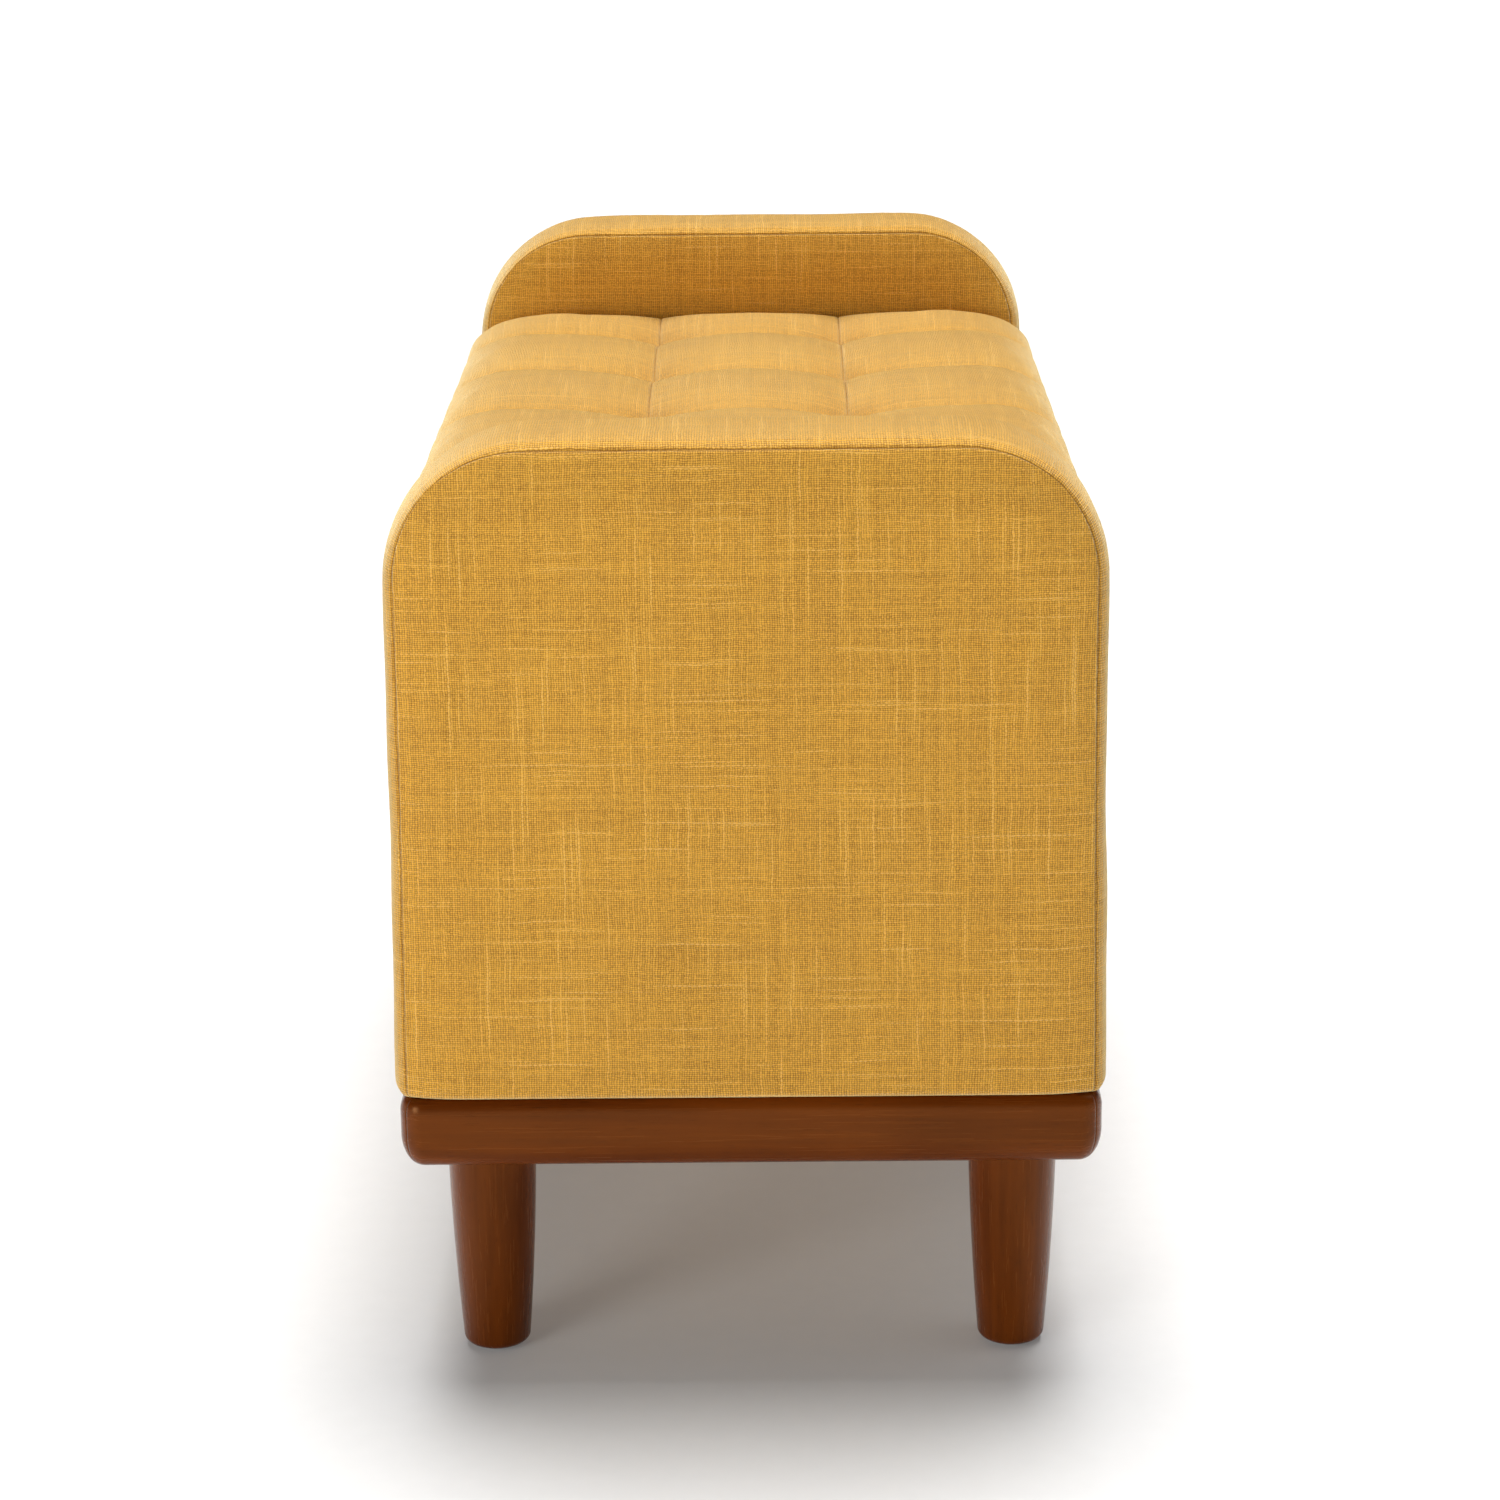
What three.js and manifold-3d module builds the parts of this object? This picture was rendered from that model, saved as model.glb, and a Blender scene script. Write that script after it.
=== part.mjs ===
// Upholstered storage bench: two padded arms, a tufted lid seat between them, a fabric-covered box,
// a mitred hardwood base rail and four turned legs.
//
// Frame: millimetres, +Z up, origin on the floor under the middle of the bench.
// X runs along the bench, and the front of the bench faces -Y.

import * as THREE from 'three';
import { mergeVertices } from 'three/addons/utils/BufferGeometryUtils.js';
import Module from 'manifold-3d';

const wasm = await Module();
wasm.setup();

// ---------- driving dimensions ----------

// Overall form
const BENCH_LENGTH = 898;
const BODY_DEPTH = 420;
const ARM_HEIGHT = 582;
const SEAT_HEIGHT = 519;
const FLOOR_TO_RAIL = 139;

// Clearance between touching pieces
const FIT = 0.3;

// Base rails
const RAIL_HEIGHT = 44;
const RAIL_WIDTH = 24;
const RAIL_INSET = 1;
const RAIL_CORNER_R = 14;
const RAIL_TOP_ROUND = 5;
const RAIL_BOTTOM_ROUND = 13;
const MITRE_OVERCUT = 10;

// Legs and their fastening
const LEG_TOP_R = 27;
const LEG_FOOT_R = 20.5;
const LEG_FOOT_ROUND = 5;
const LEG_BULGE = 1.1;
const LEG_FROM_END = 65;
const LEG_FROM_SIDE = 51;
const GLIDE_R = 14;
const GLIDE_HEIGHT = 3;
const GLIDE_RECESS = 1;
const BLOCK_LENGTH = 104;
const BLOCK_NOSE = 40;
const LEG_BOLT_R = 4;
const LEG_BOLT_IN_LEG = 40;
const NUT_R = 7.5;
const NUT_HEIGHT = 4.5;
const WASHER_R = 10;
const WASHER_HEIGHT = 1.6;
const BOLT_END = 0.5;

// Box
const PLY = 12;
const WALL_PLY = 18;
const WALL_COVER = 4;
const WALL_SETBACK = 6;
const LINER_HEIGHT = 3;
const LID_REST_GAP = 6;

// Arms
const ARM_THICKNESS = 85;
const ARM_CORNER_R = 95;
const ARM_EDGE_ROUND = 6;
const ARM_FOOT_R = 8;
const ARM_BOARD = 18;
const COVER_CLOTH = 1.6;
const ARM_BOLT_R = 4;
const ARM_BOLT_HEAD_R = 8;
const ARM_BOLT_HEAD = 4;
const ARM_BOLT_UP = 60;
const ARM_BOLT_SPREAD = 220;
const ARM_BOLT_SHORT = 4;
const ARM_FOAM_EDGE = 20;

// Lid
const LID_END_GAP = 2;
const LID_OVERHANG = 3;
const LID_BOARD = 15;
const LID_FOAM = 52;
const LID_EDGE_ROUND = 14;
const LID_CORNER_R = 16;
const DUST_CLOTH = 0.6;
const DUST_CLOTH_INSET = 30;
const DUST_CLOTH_GAP = 6;
const BUMPER_R = 5.5;
const BUMPER_FROM_FRONT = 42;

// Hinges
const HINGE_LENGTH = 64;
const HINGE_BARRELS = 3;
const HINGE_SPREAD = 480;
const LEAF_THICKNESS = 1.6;
const LEAF_WIDTH = 24;
const KNUCKLE_R = 2.6;
const HINGE_BORE_R = 1.5;
const HINGE_PIN_R = 1.2;
const HINGE_AXIS_BEHIND_WALL = 4;

// Lid stays: the hinge axis and the stay's three pivots stand at the corners of a parallelogram
const STAY_LID_REACH = 150;
const STAY_LID_DROP = 14;
const STAY_BOX_FORWARD = 58;
const STAY_BOX_DOWN = 165;
const LINK_WIDTH = 14;
const LINK_THICKNESS = 2;
const LINK_GAP = 0.5;
const RIVET_R = 3;
const RIVET_HEAD_R = 5;
const RIVET_HEAD = 1.5;
const BRACKET_PLATE = 2.5;
const BRACKET_SIZE = 34;
const BRACKET_FLANGE = 20;

// Mesh fineness
const ARC_STEPS = 5;
const ROUND_SEGMENTS = 16;
const SMALL_ROUND_SEGMENTS = 10;

// ---------- places worked out from them ----------

const railTop = FLOOR_TO_RAIL + RAIL_HEIGHT;
const boxFloor = railTop + FIT;
const railOuterX = BENCH_LENGTH / 2 - RAIL_INSET;
const railOuterY = BODY_DEPTH / 2 - RAIL_INSET;
const armInner = BENCH_LENGTH / 2 - ARM_THICKNESS;
const sidePanelOuter = armInner - FIT;
const sidePanelInner = sidePanelOuter - PLY;
const wallCoverOuter = BODY_DEPTH / 2 - WALL_SETBACK;
const wallOuter = wallCoverOuter - WALL_COVER - FIT;
const wallInner = wallOuter - WALL_PLY;
const lidBottom = SEAT_HEIGHT - COVER_CLOTH - FIT - LID_FOAM - FIT - LID_BOARD;
const boxTop = lidBottom - LID_REST_GAP;
const lidHalfLength = armInner - LID_END_GAP;
const lidHalfDepth = BODY_DEPTH / 2 + LID_OVERHANG;
const blockHeight = RAIL_HEIGHT - PLY - FIT;
const boltSeatDepth = WASHER_HEIGHT + NUT_HEIGHT + BOLT_END + FIT;
const legX = BENCH_LENGTH / 2 - LEG_FROM_END;
const legY = BODY_DEPTH / 2 - LEG_FROM_SIDE;
const hingeY = wallCoverOuter + HINGE_AXIS_BEHIND_WALL;
const hingeZ = (boxTop + lidBottom) / 2;

// The stay's pivots at rest, as [y, z]
const stayLidPivot = [hingeY - STAY_LID_REACH, hingeZ - STAY_LID_DROP];
const stayBoxPivot = [hingeY - STAY_BOX_FORWARD, hingeZ - STAY_BOX_DOWN];
const stayKnee = [stayBoxPivot[0] - STAY_LID_REACH, stayBoxPivot[1] - STAY_LID_DROP];

// Layers of one stay, as distances from the side panel towards the middle of the bench
const bracketLayer = [FIT, FIT + BRACKET_PLATE];
const lowerLayer = [bracketLayer[1] + LINK_GAP, bracketLayer[1] + LINK_GAP + LINK_THICKNESS];
const upperLayer = [lowerLayer[1] + LINK_GAP, lowerLayer[1] + LINK_GAP + LINK_THICKNESS];
const earLayer = [upperLayer[1] + LINK_GAP, upperLayer[1] + LINK_GAP + BRACKET_PLATE];

// ---------- materials ----------

const paint = (name, color, roughness, metalness = 0) =>
  new THREE.MeshStandardMaterial({ name, color, roughness, metalness });

const linen = paint('linen', 0xd9a441, 0.95);
const stainedWood = paint('stained_wood', 0x6b3414, 0.4);
const plywood = paint('plywood', 0xc9a878, 0.7);
const softwood = paint('softwood', 0xd8bd8c, 0.75);
const foam = paint('foam', 0xe9e2c8, 0.95);
const steel = paint('steel', 0x9a9da0, 0.35, 0.9);
const nylon = paint('nylon', 0x2a2522, 0.6);
const rubber = paint('rubber', 0x1d1c1b, 0.8);
const darkCloth = paint('dark_cloth', 0x2b2a29, 0.95);

// ---------- boolean helpers ----------

function toManifold(geometry) {
  const bare = geometry.clone();
  bare.deleteAttribute('normal');
  bare.deleteAttribute('uv');
  bare.clearGroups();
  const merged = mergeVertices(bare, 1e-4);
  const solid = new wasm.Manifold(new wasm.Mesh({
    numProp: 3,
    vertProperties: new Float32Array(merged.attributes.position.array),
    triVerts: new Uint32Array(merged.index.array),
  }));
  return solid;
}

function toGeometry(solid) {
  const mesh = solid.getMesh();
  const geometry = new THREE.BufferGeometry();
  geometry.setAttribute('position', new THREE.BufferAttribute(new Float32Array(mesh.vertProperties), 3));
  geometry.setIndex(new THREE.BufferAttribute(new Uint32Array(mesh.triVerts), 1));
  geometry.computeVertexNormals();
  return geometry;
}

const join = (first, ...rest) =>
  toGeometry(rest.reduce((solid, next) => solid.add(toManifold(next)), toManifold(first)));

const cut = (body, ...tools) =>
  toGeometry(tools.reduce((solid, tool) => solid.subtract(toManifold(tool)), toManifold(body)));

const common = (first, second) => toGeometry(toManifold(first).intersect(toManifold(second)));

// ---------- shape helpers ----------

// A box given by its lowest and highest corners
function boxBetween(low, high) {
  const size = high.map((value, axis) => value - low[axis]);
  const middle = high.map((value, axis) => (value + low[axis]) / 2);
  return new THREE.BoxGeometry(...size).translate(...middle);
}

// A cylinder along an axis ('x', 'y' or 'z'), centred on a point
function rod(radius, length, axis, centre = [0, 0, 0], segments = SMALL_ROUND_SEGMENTS) {
  const geometry = new THREE.CylinderGeometry(radius, radius, length, segments);
  if (axis === 'x') {
    geometry.rotateZ(Math.PI / 2);
  }
  if (axis === 'z') {
    geometry.rotateX(Math.PI / 2);
  }
  return geometry.translate(...centre);
}

// A rectangle from (x0, y0) to (x1, y1) with its own radius at the bottom and at the top corners
function roundedRectangle(x0, y0, x1, y1, bottomR, topR = bottomR) {
  const shape = new THREE.Shape();
  shape.moveTo(x0 + bottomR, y0);
  shape.lineTo(x1 - bottomR, y0);
  shape.absarc(x1 - bottomR, y0 + bottomR, bottomR, -Math.PI / 2, 0);
  shape.lineTo(x1, y1 - topR);
  shape.absarc(x1 - topR, y1 - topR, topR, 0, Math.PI / 2);
  shape.lineTo(x0 + topR, y1);
  shape.absarc(x0 + topR, y1 - topR, topR, Math.PI / 2, Math.PI);
  shape.lineTo(x0, y0 + bottomR);
  shape.absarc(x0 + bottomR, y0 + bottomR, bottomR, Math.PI, 1.5 * Math.PI);
  return shape;
}

// A flat outline raised from z = 0 to z = height, its edges rounded by `round` within that size
function slab(shape, height, round = 0, steps = 3) {
  return new THREE.ExtrudeGeometry(shape, {
    depth: height - 2 * round,
    bevelEnabled: round > 0,
    bevelThickness: round,
    bevelSize: round,
    bevelOffset: -round,
    bevelSegments: steps,
    curveSegments: ARC_STEPS,
  }).translate(0, 0, round);
}

// Turns a slab whose outline is drawn in (depth, height) so that it stands across the bench:
// outline x -> Y, outline y -> Z, thickness -> X
const standAcross = (geometry) => geometry.rotateX(Math.PI / 2).rotateZ(Math.PI / 2);

// ---------- the object ----------

const bench = new THREE.Group();

function addPiece(name, geometry, material, parent = bench) {
  const mesh = new THREE.Mesh(geometry, material);
  mesh.name = name;
  parent.add(mesh);
  return mesh;
}

const ENDS = [['left', -1], ['right', 1]];
const CORNERS = [
  ['front_left', -1, -1],
  ['front_right', 1, -1],
  ['back_left', -1, 1],
  ['back_right', 1, 1],
];

// ---------- base rails ----------

// The whole ring: a rounded plan, the lower edge rounded more than the upper one, open in the middle
function railRing() {
  const plan = roundedRectangle(-railOuterX, -railOuterY, railOuterX, railOuterY, RAIL_CORNER_R);
  const lower = slab(plan, RAIL_HEIGHT - RAIL_TOP_ROUND, RAIL_BOTTOM_ROUND, 4);
  const upper = slab(plan, RAIL_HEIGHT - RAIL_BOTTOM_ROUND, RAIL_TOP_ROUND, 3)
    .translate(0, 0, RAIL_BOTTOM_ROUND);
  const window = boxBetween(
    [-railOuterX + RAIL_WIDTH, -railOuterY + RAIL_WIDTH, -1],
    [railOuterX - RAIL_WIDTH, railOuterY - RAIL_WIDTH, RAIL_HEIGHT + 1],
  );
  return cut(join(lower, upper), window);
}

// The wedge of plan that one rail fills, cut at 45 degrees through the corners of the ring
function mitreWedge(alongX, side) {
  const trim = (FIT / 2) * Math.SQRT2;
  const reach = MITRE_OVERCUT;
  const inner = RAIL_WIDTH + MITRE_OVERCUT;
  const shape = new THREE.Shape();
  if (alongX) {
    shape.moveTo(-railOuterX - reach + trim, side * (railOuterY + reach));
    shape.lineTo(railOuterX + reach - trim, side * (railOuterY + reach));
    shape.lineTo(railOuterX - inner - trim, side * (railOuterY - inner));
    shape.lineTo(-railOuterX + inner + trim, side * (railOuterY - inner));
  } else {
    shape.moveTo(side * (railOuterX + reach), -railOuterY - reach + trim);
    shape.lineTo(side * (railOuterX + reach), railOuterY + reach - trim);
    shape.lineTo(side * (railOuterX - inner), railOuterY - inner - trim);
    shape.lineTo(side * (railOuterX - inner), -railOuterY + inner + trim);
  }
  shape.closePath();
  return slab(shape, RAIL_HEIGHT + 2).translate(0, 0, -1);
}

function addRails() {
  const ring = railRing();
  const rails = [
    ['rail_front', true, -1],
    ['rail_back', true, 1],
    ['rail_left', false, -1],
    ['rail_right', false, 1],
  ];
  for (const [name, alongX, side] of rails) {
    const rail = addPiece(name, common(ring, mitreWedge(alongX, side)), stainedWood);
    rail.position.z = FLOOR_TO_RAIL;
  }
}

// ---------- legs, glides, corner blocks and leg bolts ----------

// Turned from solid wood: a rounded foot, a slightly convex taper, a bolt hole and a seat for the glide
function legGeometry() {
  const height = FLOOR_TO_RAIL - FIT - (GLIDE_HEIGHT - GLIDE_RECESS);
  const roundSteps = 3;
  const sideSteps = 6;
  const footFlat = LEG_FOOT_R - LEG_FOOT_ROUND;
  const profile = [new THREE.Vector2(0, 0), new THREE.Vector2(footFlat, 0)];
  for (let step = 1; step <= roundSteps; step += 1) {
    const angle = (step / roundSteps) * (Math.PI / 2);
    profile.push(new THREE.Vector2(
      footFlat + LEG_FOOT_ROUND * Math.sin(angle),
      LEG_FOOT_ROUND - LEG_FOOT_ROUND * Math.cos(angle),
    ));
  }
  for (let step = 1; step <= sideSteps; step += 1) {
    const share = step / sideSteps;
    const straight = LEG_FOOT_R + (LEG_TOP_R - LEG_FOOT_R) * share;
    const bulge = LEG_BULGE * 4 * share * (1 - share);
    profile.push(new THREE.Vector2(straight + bulge, LEG_FOOT_ROUND + (height - LEG_FOOT_ROUND) * share));
  }
  profile.push(new THREE.Vector2(0, height));
  const turned = new THREE.LatheGeometry(profile, ROUND_SEGMENTS).rotateX(Math.PI / 2);
  const boltHole = rod(LEG_BOLT_R + FIT, 2 * (LEG_BOLT_IN_LEG + FIT), 'z', [0, 0, height]);
  const glideSeat = rod(GLIDE_R + FIT, 2 * (GLIDE_RECESS + FIT), 'z', [0, 0, 0], ROUND_SEGMENTS);
  return cut(turned, boltHole, glideSeat);
}

// A glue block that fills one inside corner of the rails, with a diagonal face to the middle of the bench,
// a hole for the leg bolt and a deeper seat for its washer and nut
function cornerBlockGeometry(sideX, sideY) {
  const outerX = railOuterX - RAIL_WIDTH - FIT;
  const outerY = railOuterY - RAIL_WIDTH - FIT;
  const outline = [
    [outerX, outerY],
    [outerX - BLOCK_LENGTH, outerY],
    [outerX - BLOCK_LENGTH, outerY - BLOCK_NOSE],
    [outerX - BLOCK_NOSE, outerY - BLOCK_LENGTH],
    [outerX, outerY - BLOCK_LENGTH],
  ];
  const shape = new THREE.Shape(outline.map(([x, y]) => new THREE.Vector2(sideX * x, sideY * y)));
  const place = [sideX * legX, sideY * legY];
  const hole = rod(LEG_BOLT_R + FIT, 3 * blockHeight, 'z', [...place, 0]);
  const nutSeat = rod(WASHER_R + FIT, 2 * boltSeatDepth, 'z', [...place, blockHeight], ROUND_SEGMENTS);
  return cut(slab(shape, blockHeight), hole, nutSeat);
}

// A threaded stud in the leg, with the washer and nut that pull it up against the seat in the block
function legBoltGeometry() {
  const washerFrom = blockHeight - boltSeatDepth + FIT;
  const nutFrom = washerFrom + WASHER_HEIGHT;
  const studTop = nutFrom + NUT_HEIGHT + BOLT_END;
  const studLength = studTop + LEG_BOLT_IN_LEG;
  const stud = rod(LEG_BOLT_R, studLength, 'z', [0, 0, studTop - studLength / 2]);
  const washer = rod(WASHER_R, WASHER_HEIGHT, 'z', [0, 0, washerFrom + WASHER_HEIGHT / 2], ROUND_SEGMENTS);
  const nut = rod(NUT_R, NUT_HEIGHT, 'z', [0, 0, nutFrom + NUT_HEIGHT / 2], 6);
  return join(stud, washer, nut);
}

function addLegs() {
  for (const [corner, sideX, sideY] of CORNERS) {
    const stand = new THREE.Group();
    stand.position.set(sideX * legX, sideY * legY, 0);
    bench.add(stand);

    const glideHeight = GLIDE_HEIGHT - FIT;
    const glide = rod(GLIDE_R, glideHeight, 'z', [0, 0, glideHeight / 2], ROUND_SEGMENTS);
    addPiece(`glide_${corner}`, glide, nylon, stand);
    addPiece(`leg_${corner}`, legGeometry(), stainedWood, stand).position.z = GLIDE_HEIGHT - GLIDE_RECESS;
    addPiece(`leg_bolt_${corner}`, legBoltGeometry(), steel, stand).position.z = FLOOR_TO_RAIL;

    const block = addPiece(`corner_block_${corner}`, cornerBlockGeometry(sideX, sideY), softwood);
    block.position.z = FLOOR_TO_RAIL;
  }
}

// ---------- storage box ----------

// The bolts that pull each arm against its side panel, as [y, z] on the panel
const armBoltPlaces = [-1, 1].map((side) => [side * ARM_BOLT_SPREAD / 2, boxFloor + ARM_BOLT_UP]);

function sidePanelGeometry() {
  const panel = boxBetween(
    [sidePanelInner, -wallInner + FIT, boxFloor],
    [sidePanelOuter, wallInner - FIT, boxTop],
  );
  const holes = armBoltPlaces.map(([y, z]) => rod(ARM_BOLT_R + FIT, 4 * PLY, 'x', [sidePanelOuter, y, z]));
  return cut(panel, ...holes);
}

function addBox() {
  // The base panel lies on the corner blocks, inside the rails and level with their top
  const baseX = railOuterX - RAIL_WIDTH - FIT;
  const baseY = railOuterY - RAIL_WIDTH - FIT;
  const base = boxBetween([-baseX, -baseY, railTop - PLY], [baseX, baseY, railTop]);
  addPiece('base_panel', base, plywood);

  const liner = boxBetween(
    [-sidePanelInner + FIT, -wallInner + FIT, boxFloor],
    [sidePanelInner - FIT, wallInner - FIT, boxFloor + LINER_HEIGHT],
  );
  addPiece('compartment_liner', liner, darkCloth);

  for (const [name, side] of [['front', -1], ['back', 1]]) {
    const wall = new THREE.Group();
    wall.rotation.z = side < 0 ? Math.PI : 0;
    bench.add(wall);
    const panel = boxBetween([-sidePanelOuter, wallInner, boxFloor], [sidePanelOuter, wallOuter, boxTop]);
    addPiece(`${name}_panel`, panel, plywood, wall);
    const cover = boxBetween(
      [-sidePanelOuter, wallOuter + FIT, boxFloor],
      [sidePanelOuter, wallCoverOuter, boxTop],
    );
    addPiece(`${name}_cover`, cover, linen, wall);
  }

  for (const [name, side] of ENDS) {
    const end = new THREE.Group();
    end.rotation.z = side < 0 ? Math.PI : 0;
    bench.add(end);
    addPiece(`${name}_panel`, sidePanelGeometry(), plywood, end);

    const bumperHeight = LID_REST_GAP - 2 * FIT;
    const bumper = rod(BUMPER_R, bumperHeight, 'z');
    addPiece(`bumper_${name}`, bumper, rubber).position.set(
      side * (sidePanelInner + PLY / 2),
      -wallInner + BUMPER_FROM_FRONT,
      boxTop + FIT + bumperHeight / 2,
    );
  }
}

// ---------- arms ----------

// The arm seen along the bench, inset all round by `inset`, from `bottom` to its top
const armOutline = (inset, bottom, bottomR = ARM_FOOT_R) => roundedRectangle(
  -BODY_DEPTH / 2 + inset,
  bottom,
  BODY_DEPTH / 2 - inset,
  ARM_HEIGHT - inset,
  bottomR,
  ARM_CORNER_R - inset,
);

// A layer of the arm: its outline and thickness shrink by `inset`, and its edges are rounded
function armLayer(inset, bottom) {
  const round = Math.max(ARM_EDGE_ROUND - inset, 0);
  const thickness = ARM_THICKNESS - 2 * inset;
  return standAcross(slab(armOutline(inset, bottom), thickness, round, 2)).translate(armInner + inset, 0, 0);
}

// The board's own layer: thinner than the foam round it
function armBoardLayer(clearance, bottom) {
  const inset = COVER_CLOTH + FIT + ARM_FOAM_EDGE + FIT - clearance;
  const thickness = ARM_BOARD + 2 * clearance;
  const middle = armInner + ARM_THICKNESS / 2;
  return standAcross(slab(armOutline(inset, bottom, 1), thickness)).translate(middle - thickness / 2, 0, 0);
}

// The bolts end inside the arm board, short of its outer face
const armBoltTip = armInner + ARM_THICKNESS / 2 + ARM_BOARD / 2 - ARM_BOLT_SHORT;

function armBoltHoles() {
  const length = 2 * (armBoltTip + FIT - sidePanelInner);
  return armBoltPlaces.map(([y, z]) => rod(ARM_BOLT_R + FIT, length, 'x', [sidePanelInner, y, z]));
}

function armBoltGeometry() {
  const head = sidePanelInner - FIT;
  return join(
    rod(ARM_BOLT_R, armBoltTip - head, 'x', [(armBoltTip + head) / 2, 0, 0]),
    rod(ARM_BOLT_HEAD_R, ARM_BOLT_HEAD, 'x', [head - ARM_BOLT_HEAD / 2, 0, 0], ROUND_SEGMENTS),
  );
}

function addArms() {
  const below = boxFloor - ARM_CORNER_R;
  for (const [name, side] of ENDS) {
    const arm = new THREE.Group();
    arm.rotation.z = side < 0 ? Math.PI : 0;
    bench.add(arm);

    const holes = armBoltHoles();
    const cover = cut(armLayer(0, boxFloor), armLayer(COVER_CLOTH, below), ...holes);
    const padding = cut(armLayer(COVER_CLOTH + FIT, boxFloor), armBoardLayer(FIT, below), ...holes);
    const board = cut(armBoardLayer(0, boxFloor), ...holes);
    addPiece(`arm_${name}_cover`, cover, linen, arm);
    addPiece(`arm_${name}_foam`, padding, foam, arm);
    addPiece(`arm_${name}_board`, board, plywood, arm);

    armBoltPlaces.forEach(([y, z], index) => {
      const end = (side < 0) === (index === 0) ? 'back' : 'front';
      addPiece(`arm_bolt_${end}_${name}`, armBoltGeometry(), steel, arm).position.set(0, y, z);
    });
  }
}

// ---------- lid ----------

// The lid's plan, inset all round
const lidPlan = (inset) => roundedRectangle(
  -lidHalfLength + inset,
  -lidHalfDepth + inset,
  lidHalfLength - inset,
  lidHalfDepth - inset,
  LID_CORNER_R - inset,
);

// The padded body above the board, its upper edge well rounded, and the straight stretch round the board
function lidBody(inset, bottom) {
  const top = SEAT_HEIGHT - inset;
  const crown = slab(lidPlan(inset), top - lidBottom, LID_EDGE_ROUND - inset, 3).translate(0, 0, lidBottom);
  const skirtTop = lidBottom + LID_BOARD + LID_EDGE_ROUND;
  const skirt = slab(lidPlan(inset), skirtTop - bottom).translate(0, 0, bottom);
  return join(crown, skirt);
}

function addLid() {
  addPiece('lid_cover', cut(lidBody(0, lidBottom), lidBody(COVER_CLOTH, lidBottom - LID_BOARD)), linen);

  const inset = COVER_CLOTH + FIT;
  const boardTop = lidBottom + LID_BOARD;
  const belowFoam = boxBetween(
    [-BENCH_LENGTH, -BENCH_LENGTH, 0],
    [BENCH_LENGTH, BENCH_LENGTH, boardTop + FIT],
  );
  addPiece('lid_foam', cut(lidBody(inset, lidBottom), belowFoam), foam);
  addPiece('lid_board', slab(lidPlan(inset), LID_BOARD), plywood).position.z = lidBottom;

  const clothX = sidePanelInner - earLayer[1] - BRACKET_FLANGE - DUST_CLOTH_GAP;
  const clothFront = -lidHalfDepth + DUST_CLOTH_INSET;
  const clothBack = hingeY - LEAF_WIDTH - DUST_CLOTH_GAP;
  const clothTop = lidBottom - FIT;
  const cloth = boxBetween([-clothX, clothFront, clothTop - DUST_CLOTH], [clothX, clothBack, clothTop]);
  addPiece('lid_dust_cloth', cloth, darkCloth);
}

// ---------- hinges ----------

// Barrel `index` of the hinge, counted along X, grown by `grow`
function hingeBarrel(index, grow = 0) {
  const pitch = HINGE_LENGTH / HINGE_BARRELS;
  const centre = (index + 0.5) * pitch - HINGE_LENGTH / 2;
  return rod(KNUCKLE_R + grow, pitch - FIT + 2 * grow, 'x', [centre, 0, 0], SMALL_ROUND_SEGMENTS);
}

// One leaf: side -1 is screwed to the wall below it, side 1 to the lid board above it
function hingeLeaf(side, ownBarrels, otherBarrels) {
  const outer = LID_REST_GAP / 2 - FIT;
  const heights = [side * outer, side * (outer - LEAF_THICKNESS)].sort((a, b) => a - b);
  const plate = boxBetween(
    [-HINGE_LENGTH / 2, -LEAF_WIDTH, heights[0]],
    [HINGE_LENGTH / 2, 0, heights[1]],
  );
  const clearances = otherBarrels.map((index) => hingeBarrel(index, FIT));
  const bore = rod(HINGE_BORE_R, 2 * HINGE_LENGTH, 'x');
  return cut(join(cut(plate, ...clearances), ...ownBarrels.map((index) => hingeBarrel(index))), bore);
}

function addHinges() {
  for (const [name, side] of ENDS) {
    const hinge = new THREE.Group();
    hinge.position.set(side * HINGE_SPREAD / 2, hingeY, hingeZ);
    bench.add(hinge);
    addPiece(`hinge_${name}_fixed_leaf`, hingeLeaf(-1, [0, 2], [1]), steel, hinge);
    addPiece(`hinge_${name}_lid_leaf`, hingeLeaf(1, [1], [0, 2]), steel, hinge);
    addPiece(`hinge_${name}_pin`, rod(HINGE_PIN_R, HINGE_LENGTH, 'x'), steel, hinge);
  }
}

// ---------- lid stays ----------

// A box or a cylinder that fills a layer of the stay on one side of the bench
function layerBox(side, layer, [y0, z0], [y1, z1]) {
  const x = layer.map((distance) => side * (sidePanelInner - distance)).sort((a, b) => a - b);
  return boxBetween([x[0], y0, z0], [x[1], y1, z1]);
}

function layerRod(side, layer, radius, [y, z]) {
  const middle = side * (sidePanelInner - (layer[0] + layer[1]) / 2);
  return rod(radius, layer[1] - layer[0], 'x', [middle, y, z], SMALL_ROUND_SEGMENTS);
}

// A flat bar with round ends between two pivots, with a hole at each pivot named in `holes`
function linkBar(side, layer, from, to, holes) {
  const along = [to[0] - from[0], to[1] - from[1]];
  const length = Math.hypot(...along);
  const angle = Math.atan2(along[1], along[0]);
  const half = LINK_WIDTH / 2;
  const outline = roundedRectangle(-half, -half, length + half, half, half - 0.01);
  const bar = standAcross(slab(outline, LINK_THICKNESS)).rotateX(angle);
  const x = Math.min(...layer.map((distance) => side * (sidePanelInner - distance)));
  const placed = bar.translate(x, from[0], from[1]);
  const bores = holes.map((place) => layerRod(side, [layer[0] - 1, layer[1] + 1], RIVET_R + FIT, place));
  return cut(placed, ...bores);
}

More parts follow.
